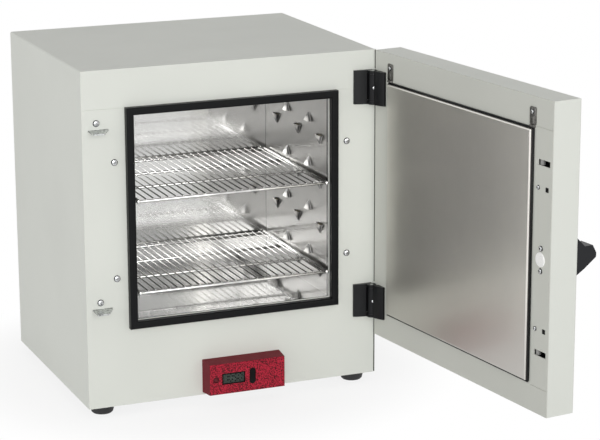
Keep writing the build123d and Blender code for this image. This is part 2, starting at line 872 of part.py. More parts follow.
def door_insulation():
    """Mineral-wool slab in the door, notched for the catches and the handle screws."""
    y = (door_outer + sheet + insulation_gap, door_back - insulation_gap)
    inset = sheet + insulation_gap
    slab = block(
        (door_x0 + inset, door_x1 - inset), y, (door_z0 + inset, door_z1 - inset)
    )
    notch_x = (door_x0 + inset, catch_x0() + catch_length + 1)
    notch_y = (door_back - catch_depth - 1, door_back)
    for z in catch_heights:
        notch_z = (z - catch_half_height - 1, z + catch_half_height + 1)
        slab -= block(notch_x, notch_y, notch_z)
    for dz in spread(handle_screw_spacing):
        slab -= screw_hole((handle_x, door_inner, chamber_mid + dz), (0, 1, 0), door_thickness)
    plug_start = (handle_x, door_inner, chamber_mid)
    plug_room = sheet + plug_stem + pocket_gap
    slab -= faceted(plug_start, (0, -1, 0), plug_radius, plug_room, screw_head_sides)
    for z in hinge_screw_z:
        slab -= head_pocket(door_hinge_screw_x, door_back - screw_bite, z, screw_bite)
    for z in catch_screw_z:
        seat = (door_x0 + catch_screw_from_edge, door_inner, z)
        slab -= screw_hole(seat, (0, 1, 0), sheet + screw_bite + 1)
    for x in spread(2 * clip_offset):
        seat = (x, door_inner, clip_screw_z())
        slab -= screw_hole(seat, (0, 1, 0), sheet + screw_bite + 1)
    return slab


def door_panel():
    """Raised stainless tray on the inside of the door."""
    x = (-panel_half, panel_half)
    z = (panel_z0, panel_z1)
    face_y = door_inner + panel_reach
    tray = block(x, (door_inner, face_y), z)
    tray = fillet(tray.faces().sort_by(Axis.Y)[-1].edges(), panel_round)
    hollow_x = (x[0] + panel_sheet, x[1] - panel_sheet)
    hollow_z = (z[0] + panel_sheet, z[1] - panel_sheet)
    return tray - block(hollow_x, (door_inner, face_y - panel_sheet), hollow_z)


def panel_seal():
    """Black strip round the raised panel."""
    inner = panel_half + seal_clear
    outer = inner + seal_width
    y = (door_inner, door_inner + seal_reach)
    z_in = (panel_z0 - seal_clear, panel_z1 + seal_clear)
    z_out = (z_in[0] - seal_width, z_in[1] + seal_width)
    return block((-outer, outer), y, z_out) - block((-inner, inner), y, z_in)


def clip_base_z():
    """Lower edge of a clip's screwed plate, just above the seal."""
    return panel_z1 + seal_clear + seal_width + clip_lift


def clip_screw_z():
    """Height of a clip's screw."""
    return clip_base_z() + clip_height * 0.7


def panel_clip(x_mid):
    """Stepped clip that reaches over the seal to the edge of the panel."""
    x = (x_mid - clip_width / 2, x_mid + clip_width / 2)
    z0 = clip_base_z()
    step_y = door_inner + seal_reach + clip_lift
    plate = block(x, (door_inner, door_inner + clip_sheet), (z0, z0 + clip_height))
    plate = chamfer(plate.edges().filter_by(Axis.Y).group_by(Axis.Z)[-1], clip_corner)
    riser = block(x, (door_inner, step_y + clip_sheet), (z0, z0 + clip_sheet))
    finger_z = (panel_z1 + clip_lift, z0 + clip_sheet)
    finger = block(x, (step_y, step_y + clip_sheet), finger_z)
    clip = plate + riser + finger
    seat = (x_mid, door_inner, clip_screw_z())
    return clip - faceted(seat, (0, 1, 0), screw_radius + screw_gap, clip_sheet, screw_shank_sides)


def door_handle():
    """Moulded pull with a beaked nose and a finger scoop on its hinge side."""
    outline = [
        (0, handle_base),
        (handle_plate, handle_base),
        (handle_neck, handle_top),
        (handle_nose - 6, handle_top),
        (handle_nose, 2),
        (handle_nose, -4),
        (handle_neck, -handle_low),
        (handle_plate, -handle_base),
        (0, -handle_base),
    ]
    side = Plane(origin=(handle_x - handle_width / 2, door_outer, chamber_mid),
                 x_dir=(0, -1, 0), z_dir=(1, 0, 0))
    points = [(reach, -height) for reach, height in outline]
    body = extrude(side * make_face(Polyline(*points, points[0])), handle_width)
    body = fillet(body.edges().filter_by(Axis.X).group_by(Axis.Y)[0], 2.5)
    scoop_x = handle_x + handle_width / 2 + handle_scoop_radius * 0.55
    scoop_y = door_outer - handle_plate - handle_scoop_radius - 1
    scoop = (scoop_x, scoop_y, chamber_mid - handle_base)
    body -= rod(scoop, (0, 0, 1), handle_scoop_radius, 2 * handle_base)
    for dz in spread(handle_screw_spacing):
        start = (handle_x, door_outer, chamber_mid + dz)
        body -= screw_hole(start, (0, 1, 0), 2 * screw_bite + 1)
    return body


def handle_screw(dz):
    """Long screw from the inside of the door into the handle."""
    seat = (handle_x, door_inner, chamber_mid + dz)
    bite = door_thickness + 2 * screw_bite
    return pan_screw(seat, (0, 1, 0), 4, 2.2, bite)


def handle_plug():
    """White plug that closes the hole behind the handle."""
    start = (handle_x, door_inner, chamber_mid)
    cap = rod(start, (0, 1, 0), plug_radius, plug_thick)
    cap = chamfer(cap.faces().sort_by(Axis.Y)[-1].edges(), plug_thick / 2)
    stem = faceted(start, (0, -1, 0), plug_radius - plug_lap, sheet + plug_stem, screw_head_sides)
    return cap + stem


# ------------------------------------------------------------------ catches
def catch_x0():
    """Free-edge end of a catch body."""
    return -tongue_left - slot_clear - 0.5 - catch_wall


def roller_place():
    """Axis of a roller: its side just clears the tapered edge of the shut tongue."""
    depth = door_gap + roller_depth
    fall = (tongue_width - tongue_tip) / (tongue_length - tongue_thick)
    edge_x = -tongue_left + tongue_width - fall * (depth - tongue_thick)
    away = (roller_radius + roller_clear) * math.hypot(1, fall)
    return edge_x + away, front_y - depth


def catch_body(z):
    """Open box behind the slot, in which the roller slide runs."""
    x0 = catch_x0()
    x = (x0, x0 + catch_length)
    y = (door_back - catch_depth, door_back)
    shell = block(x, y, (z - catch_half_height, z + catch_half_height))
    half = catch_half_height - catch_wall
    shell -= block(
        (x[0] + catch_wall, x[1] - catch_wall), (y[0] + catch_wall, y[1]), (z - half, z + half)
    )
    return shell


def slide_x():
    """Both ends of the block of a roller slide."""
    roller_x, _ = roller_place()
    return roller_x + roller_radius + 0.5, roller_x + roller_radius + 0.5 + slide_block


def catch_slide(z):
    """Fork with the roller's pin. It backs away from the tongue towards the hinges."""
    roller_x, roller_y = roller_place()
    half = catch_half_height - catch_wall - slide_gap
    y = (door_back - catch_depth + catch_wall + slide_gap, door_back - slide_gap)
    arm_gap = roller_half + slide_gap
    x0, x1 = slide_x()
    slide = block((x0, x1), y, (z - half, z + half))
    arm_x = (roller_x - roller_pin_radius - 1.2, x0)
    slide += block(arm_x, y, (z + arm_gap, z + half))
    slide += block(arm_x, y, (z - half, z - arm_gap))
    pin = rod((roller_x, roller_y, z - arm_gap), (0, 0, 1), roller_pin_radius, 2 * arm_gap)
    return slide + pin


def catch_roller(z):
    """Nylon roller on an upright pin."""
    x, y = roller_place()
    start = (x, y, z - roller_half)
    roller = rod(start, (0, 0, 1), roller_radius, 2 * roller_half)
    return roller - rod(start, (0, 0, 1), roller_pin_radius + running_gap, 2 * roller_half)


def catch_spring(z):
    """Folded leaf spring between the slide and the end wall of the catch body."""
    start = slide_x()[1] + slide_gap
    end = catch_x0() + catch_length - catch_wall - slide_gap
    low = door_back - catch_depth + catch_wall + spring_clear
    high = door_back - spring_clear - spring_fold_thick
    step = (end - start) / spring_folds
    path = [(start + n * step, high if n % 2 else low) for n in range(spring_folds + 1)]
    back = [(x, y + spring_fold_thick) for x, y in reversed(path)]
    plane = Plane(origin=(0, 0, z - spring_strip / 2))
    return extrude(plane * make_face(Polyline(*path, *back, path[0])), spring_strip)


# ------------------------------------------------------------------ controller
def ctrl_face(shrink, y):
    """Outline of the controller, drawn in by a margin, at a given depth."""
    plane = Plane(origin=(ctrl_offset_x, y, ctrl_mid_z), x_dir=(1, 0, 0), z_dir=(0, -1, 0))
    return plane * Rectangle(ctrl_width - 2 * shrink, ctrl_height - 2 * shrink)


ctrl_front = front_y - ctrl_reach
lcd_x = ctrl_offset_x + lcd_offset_x
rocker_x = ctrl_offset_x + rocker_offset_x
lamp_x = ctrl_offset_x + lamp_offset_x
ctrl_inside = ctrl_front + ctrl_wall
board_front = ctrl_inside + module_thick + nest_gap


def ctrl_posts():
    """Places of the four posts that carry the control board."""
    half_x = board_width / 2 - post_radius - 0.5
    half_z = board_height / 2 - post_radius - 0.5
    return [
        (ctrl_offset_x + sx * half_x, ctrl_mid_z + sz * half_z) for sx in (-1, 1) for sz in (-1, 1)
    ]


def rocker_outline(length, width, y):
    """Upright outline with round ends, about the middle of the rocker."""
    plane = Plane(origin=(rocker_x, y, ctrl_mid_z), x_dir=(0, 0, 1), z_dir=(0, -1, 0))
    return plane * SlotOverall(length, width)


def controller_housing():
    """Tapered red moulding with a window, a rocker slot, a lamp hole and inner posts."""
    body = loft([ctrl_face(0, front_y), ctrl_face(ctrl_draft, ctrl_front)])
    body = chamfer(body.faces().sort_by(Axis.Y)[0].edges(), ctrl_round)
    hollow = [ctrl_face(ctrl_wall, front_y), ctrl_face(ctrl_wall + ctrl_draft, ctrl_inside)]
    body -= loft(hollow)
    wall_y = (ctrl_front, ctrl_inside)
    body -= block(
        (lcd_x - lcd_width / 2, lcd_x + lcd_width / 2),
        wall_y,
        (ctrl_mid_z - lcd_height / 2, ctrl_mid_z + lcd_height / 2),
    )
    slot = rocker_outline(rocker_length + 2 * rocker_gap, rocker_width + 2 * window_gap, ctrl_front)
    body -= extrude(slot, -ctrl_wall)
    post = board_front - ctrl_inside
    for x, z in ctrl_posts():
        body += faceted((x, ctrl_inside, z), (0, 1, 0), post_radius, post, screw_head_sides)
    for x, z in ctrl_screw_places:
        boss_length = front_y - ctrl_inside
        boss = faceted((x, ctrl_inside, z), (0, 1, 0), boss_radius, boss_length, screw_head_sides)
        body += boss - screw_hole((x, front_y, z), (0, 1, 0), 3 * screw_bite)
    ear_x = rocker_width / 2 + window_gap
    pivot_y = ctrl_front + rocker_pivot_depth
    for side in (-1, 1):
        ends = sorted((rocker_x + side * ear_x, rocker_x + side * (ear_x + rocker_ear)))
        body += block(ends, (ctrl_inside, pivot_y + 2), (ctrl_mid_z - 3, ctrl_mid_z + 3))
    reach = ear_x + rocker_ear
    start = (rocker_x - reach, pivot_y, ctrl_mid_z)
    body -= rod(start, (1, 0, 0), rocker_pivot_radius + running_gap, 2 * reach)
    body -= rod((lamp_x, ctrl_front, ctrl_mid_z), (0, 1, 0), lamp_radius + window_gap, ctrl_wall)
    return body


def display_window():
    """Clear window set in the front of the controller."""
    half_x = lcd_width / 2 - window_gap
    half_z = lcd_height / 2 - window_gap
    y = (ctrl_inside - window_thick, ctrl_inside)
    return block((lcd_x - half_x, lcd_x + half_x), y, (ctrl_mid_z - half_z, ctrl_mid_z + half_z))


def display_module():
    """Liquid-crystal module between the window and the board."""
    half_x = lcd_width / 2 + module_border
    half_z = lcd_height / 2 + module_border
    y = (ctrl_inside, ctrl_inside + module_thick)
    return block((lcd_x - half_x, lcd_x + half_x), y, (ctrl_mid_z - half_z, ctrl_mid_z + half_z))


def control_board():
    """Circuit board on the posts of the housing."""
    y = (board_front, board_front + board_thick)
    x = (ctrl_offset_x - board_width / 2, ctrl_offset_x + board_width / 2)
    return block(x, y, (ctrl_mid_z - board_height / 2, ctrl_mid_z + board_height / 2))


def indicator_lamp():
    """Round lamp that shines through the housing."""
    start = (lamp_x, board_front, ctrl_mid_z)
    tip = board_front - ctrl_front + lamp_proud
    lamp = rod(start, (0, -1, 0), lamp_radius, tip)
    return chamfer(lamp.faces().sort_by(Axis.Y)[0].edges(), lamp_round)


def set_rocker():
    """Dished two-way key on its own trunnions."""
    y = (ctrl_front - rocker_proud, ctrl_front - rocker_proud + rocker_depth)
    half_x = rocker_width / 2 - window_gap
    half_z = rocker_length / 2
    key = extrude(rocker_outline(rocker_length, 2 * half_x, y[0]), -rocker_depth)
    dish_y = y[0] - math.sqrt(rocker_dish**2 - half_z**2)
    key -= rod((rocker_x - half_x, dish_y, ctrl_mid_z), (1, 0, 0), rocker_dish, 2 * half_x)
    pivot_y = ctrl_front + rocker_pivot_depth
    key += block(
        (rocker_x - 2, rocker_x + 2), (y[1] - 0.1, pivot_y + 1), (ctrl_mid_z - 1.5, ctrl_mid_z + 1.5)
    )
    reach = rocker_width / 2 + window_gap + rocker_ear
    start = (rocker_x - reach, pivot_y, ctrl_mid_z)
    return key + rod(start, (1, 0, 0), rocker_pivot_radius, 2 * reach)


def controller_screw(x, z):
    """Screw from inside the cabinet into a boss of the controller."""
    return pan_screw((x, frame_back, z), (0, 1, 0), small_head_radius, small_head_height,
                     sheet + 2 * screw_bite)


# ------------------------------------------------------------------ heating and electrics
def heater_line_z():
    """Height of the heater tube's centre line."""
    return heater_floor + heater_tray_sheet + heater_lift


def heater_mid_y():
    """Middle of the heater tray, under the middle of the chamber floor."""
    return (frame_back + chamber_back) / 2


def heater_tray():
    """Reflector tray with lugs that hold the heater tube."""
    y_mid = heater_mid_y()
    y = (y_mid - heater_tray_length / 2, y_mid + heater_tray_length / 2)
    x = (-heater_tray_half, heater_tray_half)
    tray = block(x, y, (heater_floor, heater_floor + heater_tray_sheet))
    z = heater_line_z()
    for side in (-1, 1):
        for dy in spread(heater_tray_length * 0.5):
            lug_x = (side * heater_half - lug_width / 2, side * heater_half + lug_width / 2)
            lug_y = (y_mid + dy - lug_thick / 2, y_mid + dy + lug_thick / 2)
            tray += block(lug_x, lug_y, (heater_floor, z + heater_radius + 2))
            start = (side * heater_half, lug_y[0], z)
            tray -= rod(start, (0, 1, 0), heater_radius + screw_gap, lug_thick)
    return tray


def heater_element():
    """Sheathed heater tube bent into a hairpin."""
    y_mid = heater_mid_y()
    end = y_mid + heater_tray_length / 2
    bend = y_mid - heater_tray_length / 2 + heater_radius + 2
    points = [(-heater_half, end), (-heater_half, bend), (heater_half, bend), (heater_half, end)]
    path = Pos(0, 0, heater_line_z()) * FilletPolyline(*points, radius=heater_bend)
    section = Plane(origin=path @ 0, z_dir=path % 0) * RegularPolygon(heater_radius, 8)
    return sweep(section, path)


def thermal_cutout():
    """Bimetal cut-out on the heater tray."""
    z = heater_floor + heater_tray_sheet
    y = heater_mid_y()
    width, length, thick = cutout_flange
    flange = block((-width / 2, width / 2), (y - length / 2, y + length / 2), (z, z + thick))
    return flange + rod((0, y, z), (0, 0, 1), cutout_radius, cutout_height)


def temperature_probe():
    """Sheathed sensor through the back of the chamber, with its collar behind."""
    z = chamber_z1 - probe_from_roof
    start = (probe_x, chamber_back - probe_inside, z)
    length = probe_inside + liner + probe_tail
    sheath = rod(start, (0, 1, 0), probe_radius, length)
    seat = (probe_x, chamber_back + liner, z)
    collar = faceted(seat, (0, 1, 0), probe_collar, probe_collar, 6)
    return chamfer(sheath.faces().sort_by(Axis.Y)[0].edges(), probe_radius / 2) + collar


def relay_board():
    """Power board on the standoffs of the base tray."""
    z0 = tray_top + standoff_height
    x = (-relay_board_width / 2, relay_board_width / 2)
    y = (-relay_board_length / 2, relay_board_length / 2)
    return block(x, y, (z0, z0 + board_thick))


def on_board(size, x, y):
    """Box-shaped part that stands on the power board."""
    z0 = tray_top + standoff_height + board_thick
    width, length, height = size
    body = block((x - width / 2, x + width / 2), (y - length / 2, y + length / 2), (z0, z0 + height))
    return chamfer(body.edges().group_by(Axis.Z)[-1], 1)


def terminal_block():
    """Terminal strip with a row of screw wells."""
    x = -relay_board_width / 4 + terminal_offset
    y = relay_board_length / 2 - terminal_inset
    body = on_board(terminal_size, x, y)
    top = tray_top + standoff_height + board_thick + terminal_size[2]
    for n in range(terminal_count):
        well = (x + (n - (terminal_count - 1) / 2) * terminal_pitch, y, top)
        body -= rod(well, (0, 0, -1), well_radius, well_depth)
    return body


def mains_inlet():
    """Appliance inlet snapped into the rear panel."""
    width, height, depth = inlet_body
    flange_width, flange_height, flange_thick = inlet_flange
    z = case_z0 + inlet_height

    def span(mid, size):
        return (mid - size / 2, mid + size / 2)

    inlet = block(span(inlet_offset_x, width), (back_y - depth, back_y), span(z, height))
    flange_y = (back_y, back_y + flange_thick)
    inlet += block(span(inlet_offset_x, flange_width), flange_y, span(z, flange_height))
    cavity = block(
        span(inlet_offset_x, width - 2 * inlet_wall),
        (back_y + flange_thick - inlet_cavity, back_y + flange_thick),
        span(z, height - 2 * inlet_wall),
    )
    cavity = chamfer(cavity.edges().filter_by(Axis.Y).group_by(Axis.Z)[-1], 4)
    return inlet - cavity


def inlet_pins():
    """Three flat pins in the inlet."""
    floor_y = back_y + inlet_flange[2] - inlet_cavity
    z = case_z0 + inlet_height
    places = ((-7, -1.5), (0, 2.5), (7, -1.5))
    return [
        block(
            (inlet_offset_x + dx - 1, inlet_offset_x + dx + 1),
            (floor_y, floor_y + inlet_cavity - 3),
            (z + dz - 2, z + dz + 2),
        )
        for dx, dz in places
    ]


# ------------------------------------------------------------------ all nodes
def fixed_nodes():
    """Every piece of the cabinet that stays still."""
    right_side = chamber_side()
    striker_bite = sheet + tongue_thick + screw_bite / 2
    return {
        "outer_shell": outer_shell(),
        "front_frame": front_frame(),
        "rear_panel": rear_panel(),
        "base_tray": base_tray(),
        "feet": group(foot(x, y) for x, y in foot_places),
        "foot_screws": group(foot_screw(x, y) for x, y in foot_places),
        "rear_screws": group(
            pan_screw(place, (0, 1, 0), small_head_radius, small_head_height, 3 * sheet)
            for place in rear_screw_places
        ),
        "chamber_wrap": chamber_wrap(),
        "chamber_side_right": right_side,
        "chamber_side_left": right_side.mirror(Plane.YZ),
        "insulation_jacket": insulation_jacket(),
        "door_gasket": door_gasket(),
        "chamber_screws": group(
            pan_screw(place, (0, -1, 0), screw_head_radius, screw_head_height, sheet + liner)
            for place in chamber_screw_places
        ),
        "striker_upper": striker(catch_heights[1]),
        "striker_lower": striker(catch_heights[0]),
        "striker_screws": group(
            pan_screw(place, (0, -1, 0), screw_head_radius, screw_head_height, striker_bite)
            for place in striker_screw_places
        ),
        "hinge_leaf_upper_fixed": fixed_leaf(hinge_centres[1]),
        "hinge_leaf_lower_fixed": fixed_leaf(hinge_centres[0]),
        "hinge_pins": group(hinge_pin(z) for z in hinge_centres),
        "hinge_screws_fixed": group(
            hinge_screw(fixed_hinge_screw_x, frame_back, 1, z) for z in hinge_screw_z
        ),
        "controller_housing": controller_housing(),
        "display_window": display_window(),
        "display_module": display_module(),
        "control_board": control_board(),
        "indicator_lamp": indicator_lamp(),
        "controller_screws": group(controller_screw(x, z) for x, z in ctrl_screw_places),
        "heater_tray": heater_tray(),
        "heater_element": heater_element(),
        "thermal_cutout": thermal_cutout(),
        "temperature_probe": temperature_probe(),
        "relay_board": relay_board(),
        "power_relay": on_board(relay_size, relay_board_width / 4, -relay_board_length / 6),
        "terminal_block": terminal_block(),
        "mains_inlet": mains_inlet(),
        "inlet_pins": group(inlet_pins()),
    }


def door_nodes():
    """Every piece that swings with the door, modelled shut."""
    low, high = catch_heights
    return {
        "door_skin": door_skin(),
        "door_inner_frame": door_inner_frame(),
        "door_insulation": door_insulation(),
        "door_panel": door_panel(),
        "panel_seal": panel_seal(),
        "panel_clips": group(panel_clip(x) for x in spread(2 * clip_offset)),
        "clip_screws": group(
            pan_screw(
                (x, door_inner + clip_sheet, clip_screw_z()),
                (0, 1, 0),
                small_head_radius,
                small_head_height,
                clip_sheet + sheet + screw_bite,
            )
            for x in spread(2 * clip_offset)
        ),
        "door_handle": door_handle(),
        "handle_plug": handle_plug(),
        "handle_screws": group(handle_screw(dz) for dz in spread(handle_screw_spacing)),
        "catch_body_upper": catch_body(high),
        "catch_body_lower": catch_body(low),
        "catch_slide_upper": catch_slide(high),
        "catch_slide_lower": catch_slide(low),
        "catch_roller_upper": catch_roller(high),
        "catch_roller_lower": catch_roller(low),
        "catch_spring_upper": catch_spring(high),
        "catch_spring_lower": catch_spring(low),
        "catch_screws": group(
            pan_screw(
                (door_x0 + catch_screw_from_edge, door_inner, z),
                (0, 1, 0),
                small_head_radius,
                small_head_height,
                sheet + screw_bite,
            )
            for z in catch_screw_z
        ),
        "hinge_leaf_upper_door": door_leaf(hinge_centres[1]),
        "hinge_leaf_lower_door": door_leaf(hinge_centres[0]),
        "hinge_screws_door": group(
            hinge_screw(door_hinge_screw_x, door_back, -1, z) for z in hinge_screw_z
        ),
    }


os.makedirs("parts", exist_ok=True)
for node, shape in fixed_nodes().items():
    save(shape, node)
for node, shape in door_nodes().items():
    save(swung(shape), node)
save(shelf(upper_shelf_rows), "shelf_upper")
save(shelf(lower_shelf_rows), "shelf_lower")
save(set_rocker(), "set_rocker")
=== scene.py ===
"""Bench drying oven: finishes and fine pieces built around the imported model."""

import logging
import math
from dataclasses import dataclass, field
from enum import Enum
from typing import Any, Iterable, Optional, Sequence, Union

import bmesh
import bpy
from mathutils import Matrix, Vector


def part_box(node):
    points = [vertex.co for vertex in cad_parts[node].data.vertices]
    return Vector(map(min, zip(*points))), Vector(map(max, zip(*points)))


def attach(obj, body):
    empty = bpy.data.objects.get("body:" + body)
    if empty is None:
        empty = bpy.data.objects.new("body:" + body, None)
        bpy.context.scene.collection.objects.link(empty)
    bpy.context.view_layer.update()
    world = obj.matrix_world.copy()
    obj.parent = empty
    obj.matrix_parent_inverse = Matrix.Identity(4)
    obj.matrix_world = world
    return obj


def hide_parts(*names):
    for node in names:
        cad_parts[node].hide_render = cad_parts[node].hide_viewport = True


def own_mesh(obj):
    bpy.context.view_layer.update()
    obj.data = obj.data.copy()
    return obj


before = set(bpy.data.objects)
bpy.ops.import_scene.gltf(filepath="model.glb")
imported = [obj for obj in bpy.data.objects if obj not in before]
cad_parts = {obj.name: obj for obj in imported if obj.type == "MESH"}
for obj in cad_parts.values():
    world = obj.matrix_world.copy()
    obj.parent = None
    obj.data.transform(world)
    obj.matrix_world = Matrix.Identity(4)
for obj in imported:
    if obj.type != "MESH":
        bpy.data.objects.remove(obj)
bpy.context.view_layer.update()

MM = 0.001
UP = Vector((0, 0, 1))
FRONT = Vector((0, -1, 0))
DOOR_OPENING = math.radians(97)
DOOR_INWARD = Vector((-math.sin(DOOR_OPENING), math.cos(DOOR_OPENING), 0))
CONTROLLER_FRONT = min(v.co.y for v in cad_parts["controller_housing"].data.vertices)

logging.basicConfig(level=logging.INFO, format="%(message)s")
log = logging.getLogger("oven")

Colour = tuple[float, float, float]
Triple = Sequence[float]


class Body(Enum):
    """The rigid bodies that pieces ride on."""

    CABINET = "cabinet"
    DOOR = "door"
    SHELF_UPPER = "shelf_upper"
    SHELF_LOWER = "shelf_lower"


class Grain(Enum):
    """Ways in which a metal sheet's polish can run."""

    UPRIGHT = (1.0, 1.0, 0.03)
    LEVEL = (0.03, 1.0, 1.0)


# ---------------------------------------------------------------------- shader maths
class Value:
    """A number socket of a shader that works in Python expressions."""

    def __init__(self, graph: "Graph", socket: bpy.types.NodeSocket) -> None:
        """Wraps one output socket.

        Args:
            graph: the shader that the socket belongs to.
            socket: the output that carries the number.
        """
        self.graph = graph
        self.socket = socket

    def _math(self, operation: str, first: Any, second: Any) -> "Value":
        """Adds one Math node and returns its result."""
        node = self.graph.node("ShaderNodeMath", {"operation": operation}, {0: first, 1: second})
        return Value(self.graph, node.outputs[0])

    def __add__(self, other: Any) -> "Value":
        """Sum of two numbers."""
        return self._math("ADD", self, other)

    def __rsub__(self, other: Any) -> "Value":
        """Difference of two numbers, the plain one first."""
        return self._math("SUBTRACT", other, self)

    def __mul__(self, other: Any) -> "Value":
        """Product of two numbers."""
        return self._math("MULTIPLY", self, other)


class Graph:
    """One material's node tree and the few ways in which this file fills it."""

    def __init__(self, name: str) -> None:
        """Starts an empty material.

        Args:
            name: the material's name.
        """
        self.material = bpy.data.materials.new(name)
        self.material.use_nodes = True
        self.tree = self.material.node_tree
        self.tree.nodes.clear()
        self.output = self.tree.nodes.new("ShaderNodeOutputMaterial")

    def node(
        self,
        kind: str,
        settings: Optional[dict[str, Any]] = None,
        sockets: Optional[dict[Union[str, int], Any]] = None,
    ) -> bpy.types.Node:
        """Adds a node, sets it up and fills its sockets.

        Args:
            kind: the node's type.
            settings: attributes, set before the sockets.
            sockets: values or links by socket name or number.

        Returns:
            The new node.
        """
        node = self.tree.nodes.new(kind)
        for key, value in (settings or {}).items():
            setattr(node, key, value)
        for key, value in (sockets or {}).items():
            self._feed(node.inputs[key], value)
        return node

    def _feed(self, socket: bpy.types.NodeSocket, value: Any) -> None:
        """Links or sets one input socket."""
        if isinstance(value, Value):
            self.tree.links.new(value.socket, socket)
        elif isinstance(value, bpy.types.NodeSocket):
            self.tree.links.new(value, socket)
        elif isinstance(value, (tuple, list)) and len(value) == 3 and socket.type == "RGBA":
            socket.default_value = (*value, 1.0)
        else:
            socket.default_value = value

    def place(self, scale: Triple = (1, 1, 1)) -> bpy.types.NodeSocket:
        """Object coordinates, stretched by a factor along each axis."""
        coords = self.node("ShaderNodeTexCoord").outputs["Object"]
        if tuple(scale) == (1, 1, 1):
            return coords
        sockets = {"Vector": coords, "Scale": tuple(scale)}
        return self.node("ShaderNodeMapping", None, sockets).outputs[0]

    def axes(self, vector: bpy.types.NodeSocket) -> tuple[Value, Value, Value]:
        """The three numbers of a vector."""
        split = self.node("ShaderNodeSeparateXYZ", None, {0: vector})
        return tuple(Value(self, out) for out in split.outputs)

    def noise(
        self, vector: bpy.types.NodeSocket, scale: float, detail: float = 2.0, rough: float = 0.5
    ) -> Value:
        """Soft random pattern between zero and one."""
        sockets = {"Vector": vector, "Scale": scale, "Detail": detail, "Roughness": rough}
        return Value(self, self.node("ShaderNodeTexNoise", None, sockets).outputs[0])

    def soft_step(self, value: Value, low: float, high: float) -> Value:
        """Zero below low, one above high and smooth in between."""
        settings = {"interpolation_type": "SMOOTHSTEP"}
        sockets = {"Value": value, "From Min": low, "From Max": high}
        return Value(self, self.node("ShaderNodeMapRange", settings, sockets).outputs[0])

    def span(self, value: Value, low: float, high: float) -> Value:
        """Stretches a value between zero and one to other limits."""
        sockets = {"Value": value, "To Min": low, "To Max": high}
        return Value(self, self.node("ShaderNodeMapRange", None, sockets).outputs[0])

    def blend(self, factor: Any, first: Any, second: Any) -> bpy.types.NodeSocket:
        """Mixes two colours."""
        node = self.node(
            "ShaderNodeMix", {"data_type": "RGBA"}, {"Factor": factor, 6: first, 7: second}
        )
        return node.outputs[2]

    def bump(self, height: Value, distance: float) -> bpy.types.NodeSocket:
        """Surface relief from a height pattern whose one unit stands out by a distance."""
        sockets = {"Height": height, "Distance": distance, "Strength": 1.0}
        return self.node("ShaderNodeBump", None, sockets).outputs[0]

    def finish(self, **sockets: Any) -> bpy.types.Material:
        """Ends the material in one Principled shader.

        Args:
            sockets: input values, with underscores for the spaces in their names.

        Returns:
            The material.
        """
        named = {key.replace("_", " "): value for key, value in sockets.items()}
        shader = self.node("ShaderNodeBsdfPrincipled", None, named)
        self.tree.links.new(shader.outputs[0], self.output.inputs["Surface"])
        return self.material


# ---------------------------------------------------------------------- finishes
@dataclass(frozen=True)
class Paint:
    """Powder coat with a fine orange-peel texture."""

    name: str
    colour: Colour
    peel_scale: float = 620.0
    peel_depth: float = 0.00006
    roughness: float = 0.46
    specular: float = 0.4

    def material(self) -> bpy.types.Material:
        """Builds the paint."""
        g = Graph(self.name)
        here = g.place()
        cloud = g.noise(here, 5.0, 2.0)
        fine = g.noise(here, self.peel_scale, 2.0, 0.55)
        shade = tuple(c * 0.965 for c in self.colour)
        return g.finish(
            Base_Color=g.blend(g.soft_step(cloud, 0.35, 0.7), self.colour, shade),
            Roughness=g.span(g.noise(here, 40.0, 3.0), self.roughness - 0.05, self.roughness + 0.06),
            Specular_IOR_Level=self.specular,
            Normal=g.bump(fine, self.peel_depth),
        )


